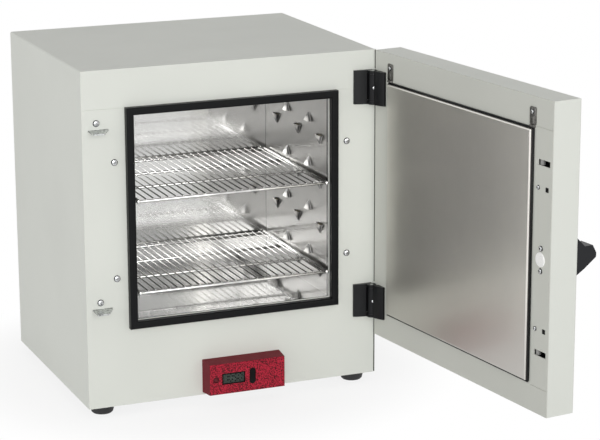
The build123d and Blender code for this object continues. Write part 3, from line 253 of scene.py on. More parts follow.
@dataclass(frozen=True)
class Sheet:
    """Bright stainless sheet: a hazy rolled face under a thin clear gloss."""

    name: str
    colour: Colour
    grain: Grain = Grain.UPRIGHT
    roughness: float = 0.3
    gloss: float = 0.4
    lines: float = 1400.0
    line_depth: float = 0.000002
    # floor: painted shade low down, full below the height floor[0] and gone above floor[1]; floor[2] scales
    # the colour there. Off unless floor[0] is above zero.
    floor: tuple[float, float, float] = (-2.0, -1.0, 1.0)
    # tabs: half width of the chamber; faces that stand in from it get painted shade at their roots and a
    # painted highlight at their tips (0 for none).
    tabs: float = 0.0
    # corner: depth of the back corner, where a thin dark strip is drawn: a joint line with painted shade in
    # the inside corner.
    corner: float = 0.07

    def material(self) -> bpy.types.Material:
        """Builds the sheet metal.

        Returns:
            A metal that darkens by floor[2] under the height floor[0] with painted shade, and whose
            pressed tabs (past tabs from the middle plane) have painted shade at their roots and painted
            highlights at their tips; walls with tabs also get a thin dark strip at their back corner, a
            joint line with painted shade in the inside corner.
        """
        g = Graph(self.name)
        along = g.place(scale=self.grain.value)
        here = g.place()
        polish = g.noise(along, self.lines, 2.0, 0.6)
        cloud = g.noise(here, 9.0, 3.0, 0.55)
        x, y, z = g.axes(here)
        low_shade = tuple(c * self.floor[2] for c in self.colour)
        shade = tuple(c * 0.93 for c in self.colour)
        face = g.blend(g.soft_step(cloud, 0.3, 0.75), self.colour, shade)
        # Painted shade: the colour darkens to low_shade below the height floor[0].
        if self.floor[0] > 0:
            face = g.blend(g.soft_step(z, self.floor[0], self.floor[1]), low_shade, face)
        rough = g.span(polish * 0.5 + cloud * 0.5, self.roughness * 0.8, self.roughness * 1.2)
        if self.tabs > 0:
            inward = (self.tabs * self.tabs - x * x) * (0.5 / self.tabs)
            # Painted shade at the pressed tabs' roots (the dark colour) and a painted highlight on their tips
            # (the light colour).
            painted_root_shade = g.soft_step(inward, 0.4 * MM, 0.9 * MM)
            tip = g.soft_step(inward, 2.2 * MM, 4.6 * MM)
            dark = tuple(c * 0.16 for c in self.colour)
            light = tuple(min(c * 1.6, 0.95) for c in self.colour)
            face = g.blend(painted_root_shade, face, g.blend(tip, dark, light))
            # A thin dark strip at the back corner, near y = corner: a joint line with painted shade in the
            # inside corner.
            face = g.blend(g.soft_step(y, self.corner - 2 * MM, self.corner - 0.5 * MM), face, dark)
        return g.finish(
            Base_Color=face,
            Metallic=1.0,
            Roughness=rough,
            Coat_Weight=self.gloss,
            Coat_Roughness=0.05,
            Coat_IOR=2.2,
            Normal=g.bump(polish, self.line_depth),
        )


@dataclass(frozen=True)
class Plated:
    """Small bright metal: wire, screws and zinc-plated brackets."""

    name: str
    colour: Colour
    roughness: float = 0.2
    mottle: float = 0.12
    scale: float = 160.0
    depth: float = 0.00002

    def material(self) -> bpy.types.Material:
        """Builds the plating."""
        g = Graph(self.name)
        here = g.place()
        cloud = g.noise(here, self.scale, 3.0, 0.6)
        dull = tuple(c * (1 - self.mottle) for c in self.colour)
        return g.finish(
            Base_Color=g.blend(g.soft_step(cloud, 0.35, 0.68), self.colour, dull),
            Metallic=1.0,
            Roughness=g.span(cloud, self.roughness * 0.6, self.roughness * 1.5),
            Normal=g.bump(g.noise(here, self.scale * 6, 2.0), self.depth),
        )


@dataclass(frozen=True)
class Moulding:
    """Plastic, rubber or satin enamel with a fine grain."""

    name: str
    colour: Colour
    roughness: float = 0.5
    grain: float = 1500.0
    depth: float = 0.00004
    speckle: float = 0.08
    specular: float = 0.5
    # front: plane behind which faces get painted shade; 0 for none.
    front: float = 0.0

    def material(self) -> bpy.types.Material:
        """Builds the moulding.

        Returns:
            A speckled material whose faces behind the plane y = front are darker: painted shade on its sides.
        """
        g = Graph(self.name)
        here = g.place()
        cloud = g.noise(here, 60.0, 3.0, 0.6)
        grain = g.noise(here, self.grain, 3.0, 0.6)
        light = tuple(min(1.0, c * (1 + self.speckle) + 0.002) for c in self.colour)
        dark = tuple(c * (1 - self.speckle) for c in self.colour)
        face = g.blend(g.soft_step(grain * 0.85 + cloud * 0.15, 0.4, 0.6), dark, light)
        if self.front:
            _, y, _ = g.axes(here)
            # Painted shade: faces behind the front plane, the moulding's sides, are darker.
            painted_side_shade = tuple(c * 0.5 for c in self.colour)
            behind = g.soft_step(y, self.front + 0.7 * MM, self.front + 1.6 * MM)
            face = g.blend(behind, face, painted_side_shade)
        return g.finish(
            Base_Color=face,
            Roughness=g.span(cloud, self.roughness - 0.07, self.roughness + 0.08),
            Specular_IOR_Level=self.specular,
            Normal=g.bump(grain, self.depth),
        )


@dataclass(frozen=True)
class Clear:
    """Clear or tinted plastic that light passes through."""

    name: str
    colour: Colour
    roughness: float = 0.03
    alpha: float = 0.18

    def material(self) -> bpy.types.Material:
        """Builds the window."""
        g = Graph(self.name)
        smear = g.noise(g.place(), 220.0, 2.0)
        return g.finish(
            Base_Color=self.colour,
            Roughness=g.span(smear, self.roughness, self.roughness + 0.08),
            Alpha=self.alpha,
            IOR=1.49,
        )


@dataclass(frozen=True)
class Wool:
    """Packed mineral fibre."""

    name: str
    colour: Colour

    def material(self) -> bpy.types.Material:
        """Builds the fibre."""
        g = Graph(self.name)
        here = g.place()
        fibre = g.noise(g.place(scale=(1, 0.2, 1)), 900.0, 4.0, 0.7)
        tuft = g.noise(here, 90.0, 3.0)
        dark = tuple(c * 0.72 for c in self.colour)
        return g.finish(
            Base_Color=g.blend(g.soft_step(fibre * 0.5 + tuft * 0.5, 0.35, 0.65), dark, self.colour),
            Roughness=0.95,
            Normal=g.bump(fibre + tuft, 0.0008),
        )


# ---------------------------------------------------------------------- mesh helpers
def new_object(name: str, data: Any) -> bpy.types.Object:
    """Puts a new object with some data in the scene."""
    made = bpy.data.objects.new(name, data)
    bpy.context.scene.collection.objects.link(made)
    return made


def into_piece(
    mesh_maker: bmesh.types.BMesh, name: str, body: Body, smooth: float = 40.0
) -> bpy.types.Object:
    """Turns a finished bmesh into a piece of the object.

    Args:
        mesh_maker: the shape, in metres and in place. It is freed.
        name: the piece's name.
        body: the rigid body it rides on.
        smooth: faces that meet below this angle, in degrees, shade as one.

    Returns:
        The new object.
    """
    data = bpy.data.meshes.new(name)
    mesh_maker.to_mesh(data)
    mesh_maker.free()
    data.shade_smooth()
    data.set_sharp_from_angle(angle=math.radians(smooth))
    piece = new_object(name, data)
    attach(piece, body.value)
    log.info("piece %s: %d faces", name, len(data.polygons))
    return piece


def dress(piece: bpy.types.Object, material: bpy.types.Material) -> None:
    """Gives a piece one material in every slot."""
    if not piece.data.materials:
        piece.data.materials.append(material)
    for slot in piece.material_slots:
        slot.material = material


def dress_nodes(material: bpy.types.Material, nodes: Iterable[str]) -> None:
    """Gives several carried-over nodes one material."""
    for node in nodes:
        dress(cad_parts[node], material)


def facing(direction: Triple) -> Matrix:
    """Rotation that turns +Z to a direction."""
    return Vector(direction).to_track_quat("Z", "Y").to_matrix().to_4x4()


def merge_in(shape: bmesh.types.BMesh, part: bmesh.types.BMesh, place: Matrix) -> None:
    """Moves one finished shape into place inside another.

    Args:
        shape: the bmesh that takes it in.
        part: the shape. It is freed.
        place: where it goes.
    """
    bmesh.ops.recalc_face_normals(part, faces=part.faces)
    bmesh.ops.transform(part, matrix=place, verts=part.verts)
    carrier = bpy.data.meshes.new("carrier")
    part.to_mesh(carrier)
    part.free()
    shape.from_mesh(carrier)
    bpy.data.meshes.remove(carrier)


def add_spun(
    shape: bmesh.types.BMesh, profile: Sequence[tuple[float, float]], place: Matrix, steps: int
) -> None:
    """Adds a turned solid.

    Args:
        shape: the bmesh it is added to.
        profile: radius and height pairs, from axis to axis or back to the first pair.
        place: where its axis and base go.
        steps: number of sides.
    """
    part = bmesh.new()
    verts = [part.verts.new((radius, 0.0, height)) for radius, height in profile]
    edges = [part.edges.new(pair) for pair in zip(verts, verts[1:])]
    bmesh.ops.spin(
        part,
        geom=verts + edges,
        cent=(0, 0, 0),
        axis=(0, 0, 1),
        angle=math.tau,
        steps=steps,
        use_merge=True,
    )
    bmesh.ops.remove_doubles(part, verts=part.verts, dist=1e-7)
    merge_in(shape, part, place)


def add_prism(
    shape: bmesh.types.BMesh,
    outline: Sequence[tuple[float, float]],
    depth: float,
    place: Matrix,
    narrow: float = 1.0,
    ease: float = 0.0,
) -> None:
    """Adds a straight or tapered solid on a flat outline.

    Args:
        shape: the bmesh it is added to.
        outline: corners in the local XY plane.
        depth: height along local +Z.
        place: where the local frame goes.
        narrow: size of the far end as a share of the near end.
        ease: width of the bevel round the far end.
    """
    part = bmesh.new()
    near = [part.verts.new((x, y, 0.0)) for x, y in outline]
    far = [part.verts.new((x * narrow, y * narrow, depth)) for x, y in outline]
    part.faces.new(near[::-1])
    cap = part.faces.new(far)
    for count in range(len(outline)):
        after = (count + 1) % len(outline)
        part.faces.new((near[count], near[after], far[after], far[count]))
    if ease:
        bevel(part, list(cap.edges), ease)
    merge_in(shape, part, place)


def add_rod(
    shape: bmesh.types.BMesh,
    start: Vector,
    end: Vector,
    radius: float,
    sides: int = 12,
    round_end: float = 0.3,
) -> None:
    """Adds a round bar with eased ends.

    Args:
        shape: the bmesh it is added to.
        start: centre of one end.
        end: centre of the other end.
        radius: its radius.
        sides: number of sides.
        round_end: share of the radius that is eased off at the ends.
    """
    length = (end - start).length
    ease = radius * round_end
    profile = [(0, 0), (radius - ease, 0), (radius, ease), (radius, length - ease)]
    profile += [(radius - ease, length), (0, length)]
    place = Matrix.Translation(start) @ facing(end - start)
    add_spun(shape, profile, place, sides)


def add_block(shape: bmesh.types.BMesh, low: Triple, high: Triple, ease: float = 0.0) -> None:
    """Adds a box between two corners, with eased edges."""
    size = Vector(high) - Vector(low)
    middle = (Vector(high) + Vector(low)) / 2
    place = Matrix.Translation(middle) @ Matrix.Diagonal((*size, 1.0))
    made = bmesh.ops.create_cube(shape, size=1.0, matrix=place)["verts"]
    if ease:
        bevel(shape, list({e for v in made for e in v.link_edges}), ease)


def bevel(shape: bmesh.types.BMesh, edges: Sequence[Any], width: float, segments: int = 2) -> None:
    """Eases a set of edges."""
    bmesh.ops.bevel(
        shape,
        geom=edges,
        offset=width,
        offset_type="OFFSET",
        affect="EDGES",
        segments=segments,
        profile=0.5,
        material=-1,
        clamp_overlap=True,
    )


def carve(piece: bpy.types.Object, cutter: bmesh.types.BMesh) -> None:
    """Cuts one shape out of a piece and keeps the result as its mesh.

    Args:
        piece: the object that is cut.
        cutter: the shape that is taken away. It is freed.
    """
    data = bpy.data.meshes.new("cutter")
    cutter.to_mesh(data)
    cutter.free()
    tool = new_object("cutter", data)
    change = piece.modifiers.new("carve", "BOOLEAN")
    change.operation = "DIFFERENCE"
    change.solver = "EXACT"
    change.object = tool
    depsgraph = bpy.context.evaluated_depsgraph_get()
    result = bpy.data.meshes.new_from_object(piece.evaluated_get(depsgraph))
    piece.modifiers.clear()
    old = piece.data
    piece.data = result
    bpy.data.meshes.remove(old)
    bpy.data.objects.remove(tool)
    piece.data.set_sharp_from_angle(angle=math.radians(32))


# ---------------------------------------------------------------------- screws
@dataclass
class ScrewSet:
    """Screws of one kind, with domed heads and cross recesses, in place of their node."""

    node: str
    body: Body
    seats: Sequence[Vector]
    outward: Vector
    head_radius: float
    head_height: float
    shank: float
    finish: bpy.types.Material
    # rim: painted shade for the steep faces of the heads.
    rim_shade: bpy.types.Material
    slot: str = "screw_steel"

    def build(self) -> bpy.types.Object:
        """Builds every screw of the set as one piece and dresses it."""
        shape = bmesh.new()
        cutter = bmesh.new()
        turn = facing(self.outward)
        for count, seat in enumerate(self.seats):
            place = Matrix.Translation(seat) @ turn
            add_spun(shape, self._profile(), place, 28)
            spin = Matrix.Rotation(math.radians(20 + 33 * count), 4, "Z")
            self._recess(cutter, place @ spin)
        piece = into_piece(shape, f"{self.node}_turned", self.body, 32)
        carve(piece, cutter)
        dress(piece, self.finish)
        self._paint_rim_shade(piece)
        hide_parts(self.node)
        return piece

    def _paint_rim_shade(self, piece: bpy.types.Object) -> None:
        """Gives the steep faces of the heads and their recesses a near-black copy of the plating: painted
        shade.
        """
        piece.data.materials.append(self.rim_shade)
        for face in piece.data.polygons:
            if face.normal.dot(self.outward) < 0.84:
                face.material_index = 1

    def _profile(self) -> list[tuple[float, float]]:
        """Half outline of a screw, from its tip to the top of its head."""
        r, h = self.head_radius, self.head_height
        shaft = 2.0 * MM
        tip = -self.shank
        outline = [(0, tip), (shaft - 0.4 * MM, tip), (shaft, tip + 0.4 * MM), (shaft, 0), (r, 0)]
        for step in range(1, 7):
            angle = math.radians(step * 13)
            outline.append((r * math.cos(angle) ** 0.8, h * (0.28 + 0.72 * math.sin(angle))))
        return outline + [(0, h)]

    def _recess(self, cutter: bmesh.types.BMesh, place: Matrix) -> None:
        """Adds the tapered cross of one head's recess to the cutter."""
        long, wide = self.head_radius * 0.55, self.head_radius * 0.13
        arm = [(long, -wide), (long, wide), (wide, wide)]
        outline = []
        for quarter in range(4):
            turn = Matrix.Rotation(quarter * math.pi / 2, 2)
            outline += [tuple(turn @ Vector(corner)) for corner in arm]
        above = 0.5 * MM
        down = place @ Matrix.Translation((0, 0, self.head_height + above)) @ Matrix.Rotation(
            math.pi, 4, "X"
        )
        add_prism(cutter, outline, self.head_height * 0.55 + above, down, narrow=0.6)


# ---------------------------------------------------------------------- shelves
@dataclass
class WireShelf:
    """Welded wire shelf with round wires, in place of its plain node."""

    node: str
    body: Body
    rail: float = 3.0 * MM
    cross: float = 2.0 * MM
    wire: float = 0.95 * MM
    crosses: int = 4
    wires: int = 25
    pitch: float = 11.2 * MM
    overhang: float = 1.5 * MM

    def build(self, finish: bpy.types.Material) -> bpy.types.Object:
        """Builds the shelf between the corners of its node.

        Args:
            finish: the wire's material.

        Returns:
            The shelf.
        """
        low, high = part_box(self.node)
        shape = bmesh.new()
        front, back = low.y + self.overhang, high.y - self.overhang
        height = low.z + self.rail
        for side in (-1, 1):
            x = side * (high.x - self.rail)
            add_rod(shape, Vector((x, front, height)), Vector((x, back, height)), self.rail, 20)
        reach = high.x - self.rail
        for count in range(self.crosses):
            y = front + self.cross + count * (back - front - 2 * self.cross) / (self.crosses - 1)
            add_rod(shape, Vector((-reach, y, height)), Vector((reach, y, height)), self.cross, 16)
        top = high.z - self.wire
        for count in range(self.wires):
            x = (count - (self.wires - 1) / 2) * self.pitch
            add_rod(shape, Vector((x, low.y, top)), Vector((x, high.y, top)), self.wire, 12, 0.5)
        piece = into_piece(shape, f"{self.node}_wires", self.body, 50)
        dress(piece, finish)
        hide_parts(self.node)
        return piece


# ---------------------------------------------------------------------- display
@dataclass
class Readout:
    """Seven-segment figures on the liquid crystal."""

    text: str = "105.0"
    height: float = 10.0 * MM
    width: float = 5.0 * MM
    stroke: float = 2.0 * MM
    gap: float = 2.4 * MM
    lean: float = 0.06
    dot: float = 0.9 * MM
    segments: dict[str, str] = field(
        default_factory=lambda: {"0": "abcdef", "1": "bc", "5": "acdfg"}
    )

    def build(self, finish: bpy.types.Material) -> bpy.types.Object:
        """Builds the figures just proud of the display module.

        Args:
            finish: the dark crystal's material.

        Returns:
            The figures.
        """
        low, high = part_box("display_module")
        middle = (low + high) / 2
        step = self.width + self.gap
        shape = bmesh.new()
        figures = [c for c in self.text if c != "."]
        cursor = middle.x - step * (len(figures) - 1) / 2
        for char in self.text:
            if char == ".":
                at = Vector((cursor - step / 2, low.y, middle.z - self.height / 2))
                self._bar(shape, at, self.dot, self.dot)
                continue
            for name in self.segments[char]:
                self._segment(shape, name, Vector((cursor, low.y, middle.z)))
            cursor += step
        for vert in shape.verts:
            vert.co.x += (vert.co.z - middle.z) * self.lean
        piece = into_piece(shape, "readout_figures", Body.CABINET)
        dress(piece, finish)
        return piece

    def _segment(self, shape: bmesh.types.BMesh, name: str, centre: Vector) -> None:
        """Adds one bar of a figure."""
        w, h = self.width / 2, self.height / 2
        level = {"a": h, "g": 0.0, "d": -h}
        upright = {"f": (-w, h / 2), "b": (w, h / 2), "e": (-w, -h / 2), "c": (w, -h / 2)}
        long = self.stroke * 0.2
        if name in level:
            at = centre + Vector((0, 0, level[name]))
            self._bar(shape, at, self.width - self.stroke - long, self.stroke)
        else:
            dx, dz = upright[name]
            at = centre + Vector((dx, 0, dz))
            self._bar(shape, at, self.stroke, h - self.stroke - long)

    def _bar(self, shape: bmesh.types.BMesh, at: Vector, wide: float, tall: float) -> None:
        """Adds one small flat bar."""
        low = (at.x - wide / 2, at.y - 0.04 * MM, at.z - tall / 2)
        high = (at.x + wide / 2, at.y + 0.02 * MM, at.z + tall / 2)
        add_block(shape, low, high)


# ---------------------------------------------------------------------- trims
def rounded(half_x: float, half_y: float, radius: float, steps: int = 5) -> list[tuple[float, float]]:
    """Outline of a rectangle with round corners, counter-clockwise from the lower right."""
    outline = []
    for corner, (sx, sy) in enumerate(((1, -1), (1, 1), (-1, 1), (-1, -1))):
        for step in range(steps + 1):
            angle = math.radians(-90 + 90 * corner + 90 * step / steps)
            x = sx * (half_x - radius) + radius * math.cos(angle)
            y = sy * (half_y - radius) + radius * math.sin(angle)
            outline.append((x, y))
    return outline


@dataclass
class HingeDots:
    """Bright set screw in the middle of each hinge barrel, which holds its pin."""

    finish: bpy.types.Material
    radius: float = 1.9 * MM
    proud: float = 0.35 * MM
    sunk: float = 0.6 * MM
    barrel: float = 6.6 * MM
    bearing: float = -100.0

    def build(self) -> None:
        """Builds both set screws."""
        axis = hinge_axis()
        angle = math.radians(self.bearing)
        outward = Vector((math.cos(angle), math.sin(angle), 0))
        shape = bmesh.new()
        for node in ("hinge_leaf_upper_door", "hinge_leaf_lower_door"):
            leaf_low, leaf_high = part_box(node)
            height = (leaf_low.z + leaf_high.z) / 2
            foot = axis + UP * height + outward * (self.barrel - self.sunk)
            top = self.sunk + self.proud
            profile = [(0, 0), (self.radius, 0), (self.radius, top - 0.2 * MM)]
            profile += [(self.radius - 0.25 * MM, top), (self.radius * 0.45, top)]
            profile += [(self.radius * 0.3, top - 0.3 * MM), (0, top - 0.3 * MM)]
            add_spun(shape, profile, Matrix.Translation(foot) @ facing(outward), 20)
        piece = into_piece(shape, "hinge_set_screws", Body.DOOR, 40)
        dress(piece, self.finish)


@dataclass
class PanelTrim:
    """Piped seal round the door panel and the two clips above it."""

    seal_radius: float = 1.5 * MM
    clip_half: float = 6.8 * MM
    clip_corner: float = 2.2 * MM
    clip_thick: float = 1.5 * MM
    lift: float = 5.2 * MM
    head_gap: float = 1.2 * MM
    edge_inset: float = 1.0 * MM

    def build(self, rubber: bpy.types.Material, steel: bpy.types.Material) -> None:
        """Builds the seal and the clips in place of their nodes."""
        self._seal(rubber)
        self._clips(steel)

    def _seal(self, rubber: bpy.types.Material) -> None:
        """Builds the seal: four straight rubber cords close against the panel's edge."""
        near, far, low, high = door_span("door_panel")
        reach = self.seal_radius + 0.2 * MM
        corners = [
            (near - reach, low - reach),
            (far + reach, low - reach),
            (far + reach, high + reach),
            (near - reach, high + reach),
        ]
        base = door_base()
        shape = bmesh.new()
        for count in range(4):
            start, end = corners[count], corners[(count + 1) % 4]
            points = [base @ Vector((x, y, self.seal_radius)) for x, y in (start, end)]
            add_rod(shape, points[0], points[1], self.seal_radius, 16, 0.5)
        piece = into_piece(shape, "panel_seal_cord", Body.DOOR, 50)
        dress(piece, rubber)
        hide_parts("panel_seal")

    def _clips(self, steel: bpy.types.Material) -> None:
        """Builds two flat clips with a lug that turns down towards the seal."""
        base = door_base()
        near, far, _, high = door_span("door_panel")
        foot = high + self.lift
        half = (door_span("panel_clips")[3] - self.head_gap - foot) / 2
        shape = bmesh.new()
        for x in (near + self.edge_inset, far - self.edge_inset):
            middle = base @ Matrix.Translation((x, foot + half, 0))
            outline = rounded(self.clip_half, half, self.clip_corner)
            add_prism(shape, outline, self.clip_thick, middle, 1.0, 0.35 * MM)
            lug = base @ Matrix.Translation((x, foot - 1.0 * MM, 0))
            bar = rounded(self.clip_half * 0.8, 1.6 * MM, 0.6 * MM, 3)
            add_prism(shape, bar, self.clip_thick * 2.2, lug, 0.9, 0.4 * MM)
            groove = base @ Matrix.Translation((x, foot + half * 0.5, self.clip_thick - 0.05 * MM))
            add_prism(shape, rounded(2.2 * MM, 5 * MM, 1.6 * MM), 0.5 * MM, groove, 0.8, 0.2 * MM)
        piece = into_piece(shape, "panel_clip_plates", Body.DOOR, 35)
        dress(piece, steel)
        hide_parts("panel_clips")


@dataclass
class FrontTrim:
    """Small rings of the controller: the lamp's bezel and the window's dark border."""

    bezel_wide: float = 1.1 * MM
    bezel_top: float = 0.75 * MM
    border_wide: float = 1.7 * MM
    border_proud: float = 0.35 * MM

    def build(self, maroon: bpy.types.Material, ink: bpy.types.Material) -> None:
        """Builds the lamp's bezel and the window's border."""
        low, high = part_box("indicator_lamp")
        radius = (high.x - low.x) / 2
        wall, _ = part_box("controller_housing")
        centre = Vector(((low.x + high.x) / 2, wall.y + 0.3 * MM, (low.z + high.z) / 2))
        outer, inner, top = radius + self.bezel_wide, radius + 0.1 * MM, self.bezel_top
        profile = [(inner, 0), (outer, 0), (outer, top * 0.6), (outer - 0.3 * MM, top)]
        profile += [(inner + 0.2 * MM, top), (inner, top * 0.7), (inner, 0)]
        shape = bmesh.new()
        add_spun(shape, profile, Matrix.Translation(centre) @ facing(FRONT), 32)
        ring = into_piece(shape, "lamp_bezel", Body.CABINET, 40)
        dress(ring, maroon)
        low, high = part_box("display_window")
        shape = bmesh.new()
        wide = self.border_wide
        front = low.y - self.border_proud
        for x0, x1, z0, z1 in (
            (low.x, high.x, low.z, low.z + wide),
            (low.x, high.x, high.z - wide, high.z),
            (low.x, low.x + wide, low.z, high.z),
            (high.x - wide, high.x, low.z, high.z),
        ):
            add_block(shape, (x0, front, z0), (x1, low.y + 0.1 * MM, z1), 0.08 * MM)
        border = into_piece(shape, "window_border", Body.CABINET, 30)
        dress(border, ink)


@dataclass
class GapShadowStrip:
    """Thin black strip down the cabinet's hinge edge, between and past the hinges: painted shadow in the gap
    between cabinet and door.
    """

    wide: float = 1.6 * MM
    proud: float = 0.5 * MM
    clear: float = 0.8 * MM
    inset: float = 0.2 * MM
    end_gap: float = 1.0 * MM

    def build(self, rubber: bpy.types.Material) -> None:
        """Builds the three lengths of the strip."""
        low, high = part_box("front_frame")
        lower_low, lower_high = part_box("hinge_leaf_lower_fixed")
        upper_low, upper_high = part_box("hinge_leaf_upper_fixed")
        right = high.x - self.inset
        shape = bmesh.new()
        for z0, z1 in (
            (low.z + self.end_gap, lower_low.z - self.clear),
            (lower_high.z + self.clear, upper_low.z - self.clear),
            (upper_high.z + self.clear, high.z - self.end_gap),
        ):
            corner = (right - self.wide, low.y - self.proud, z0)
            add_block(shape, corner, (right, low.y + 0.1 * MM, z1), 0.15 * MM)
        piece = into_piece(shape, "hinge_gap_shadow_strip", Body.CABINET, 30)
        dress(piece, rubber)


@dataclass
class HingeShims:
    """Thin black shim on the cabinet behind each hinge's door knuckle."""

    left: float = 10.2 * MM
    right: float = 3.0 * MM
    thick: float = 0.4 * MM
    foot: float = 0.1
    head: float = 0.06

    def build(self, enamel: bpy.types.Material) -> None:
        """Builds both shims."""
        middle = hinge_axis().x
        front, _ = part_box("front_frame")
        shape = bmesh.new()
        for node in ("hinge_leaf_lower_fixed", "hinge_leaf_upper_fixed"):
            leaf_low, leaf_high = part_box(node)
            tall = leaf_high.z - leaf_low.z
            z0, z1 = leaf_low.z + tall * self.foot, leaf_high.z - tall * self.head
            corner = (middle - self.left, front.y - self.thick, z0)
            add_block(shape, corner, (middle + self.right, front.y + 0.1 * MM, z1), 0.1 * MM)
        piece = into_piece(shape, "hinge_shims", Body.CABINET, 30)
        dress(piece, enamel)


@dataclass
class CatchSprings:
    """Folded leaf springs behind the two catch slides."""

    travel: float = 3.0 * MM
    spare: float = 0.3 * MM

    def build(self, steel: bpy.types.Material) -> None:
        """Builds both springs in place of their nodes."""
        along = -UP.cross(DOOR_INWARD)
        for name in ("upper", "lower"):
            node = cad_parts[f"catch_spring_{name}"]
            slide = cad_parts[f"catch_slide_{name}"]
            middle = centre_of(node)
            if (centre_of(slide) - middle).dot(along) > 0:
                along = -along
            places = [v.co.dot(along) for v in node.data.vertices]
            anchor = middle + along * (max(places) - middle.dot(along))
            shape = bmesh.new()
            shape.from_mesh(node.data)
            piece = into_piece(shape, f"catch_leaf_spring_{name}", Body.DOOR, 30)
            dress(piece, steel)
            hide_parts(f"catch_spring_{name}")
            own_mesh(piece)


@dataclass
class CatchCaps:
    """Black square caps in the two square holes of the door's inner plate."""

    half: float = 3.2 * MM
    proud: float = 0.4 * MM
    sunk: float = 1.0 * MM
    from_edge: float = 10.4 * MM

    def build(self, black: bpy.types.Material) -> None:
        """Builds both caps, level with the catch screws."""
        base = door_base()
        edge = door_span("door_inner_frame")[1]
        shape = bmesh.new()
        seats, _ = seats_of("catch_screws", DOOR_INWARD, 2.0 * MM)
        for seat in seats:
            local = Matrix.Translation((edge - self.from_edge, seat.z, -self.sunk))
            outline = rounded(self.half, self.half, 0.5 * MM, 2)
            add_prism(shape, outline, self.proud + self.sunk, base @ local, 1.0, 0.15 * MM)
        piece = into_piece(shape, "catch_hole_caps", Body.DOOR, 35)
        dress(piece, black)


def centre_of(node: bpy.types.Object) -> Vector:
    """Mean place of a node's points."""
    return sum((v.co for v in node.data.vertices), Vector()) / len(node.data.vertices)


def corners_of(points: Iterable[Any]) -> tuple[Vector, Vector]:
    """Low and high corners of the box round some mesh points."""
    low = Vector(min(v.co[i] for v in points) for i in range(3))
    high = Vector(max(v.co[i] for v in points) for i in range(3))
    return low, high


def hinge_axis() -> Vector:
    """Point of the hinge axis at the level of the bench."""
    low, high = corners_of(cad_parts["hinge_pins"].data.vertices)
    return Vector(((low.x + high.x) / 2, (low.y + high.y) / 2, 0))


def door_base() -> Matrix:
    """Local frame on the door's inner face: X away from the hinges, Y up, Z out of the face."""
    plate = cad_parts["door_inner_frame"].data
    axis = hinge_axis()
    offset = max(v.co.dot(DOOR_INWARD) for v in plate.vertices) - axis.dot(DOOR_INWARD)
    turn = Matrix((UP.cross(DOOR_INWARD), UP, DOOR_INWARD)).transposed()
    return Matrix.Translation(axis + DOOR_INWARD * offset) @ turn.to_4x4()


def door_span(node: str) -> tuple[float, float, float, float]:
    """Extent of a door node in the door's frame: nearest, farthest, lowest and highest."""
    back = door_base().inverted()
    places = [back @ v.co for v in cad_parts[node].data.vertices]
    xs, ys = [p.x for p in places], [p.y for p in places]
    return min(xs), max(xs), min(ys), max(ys)


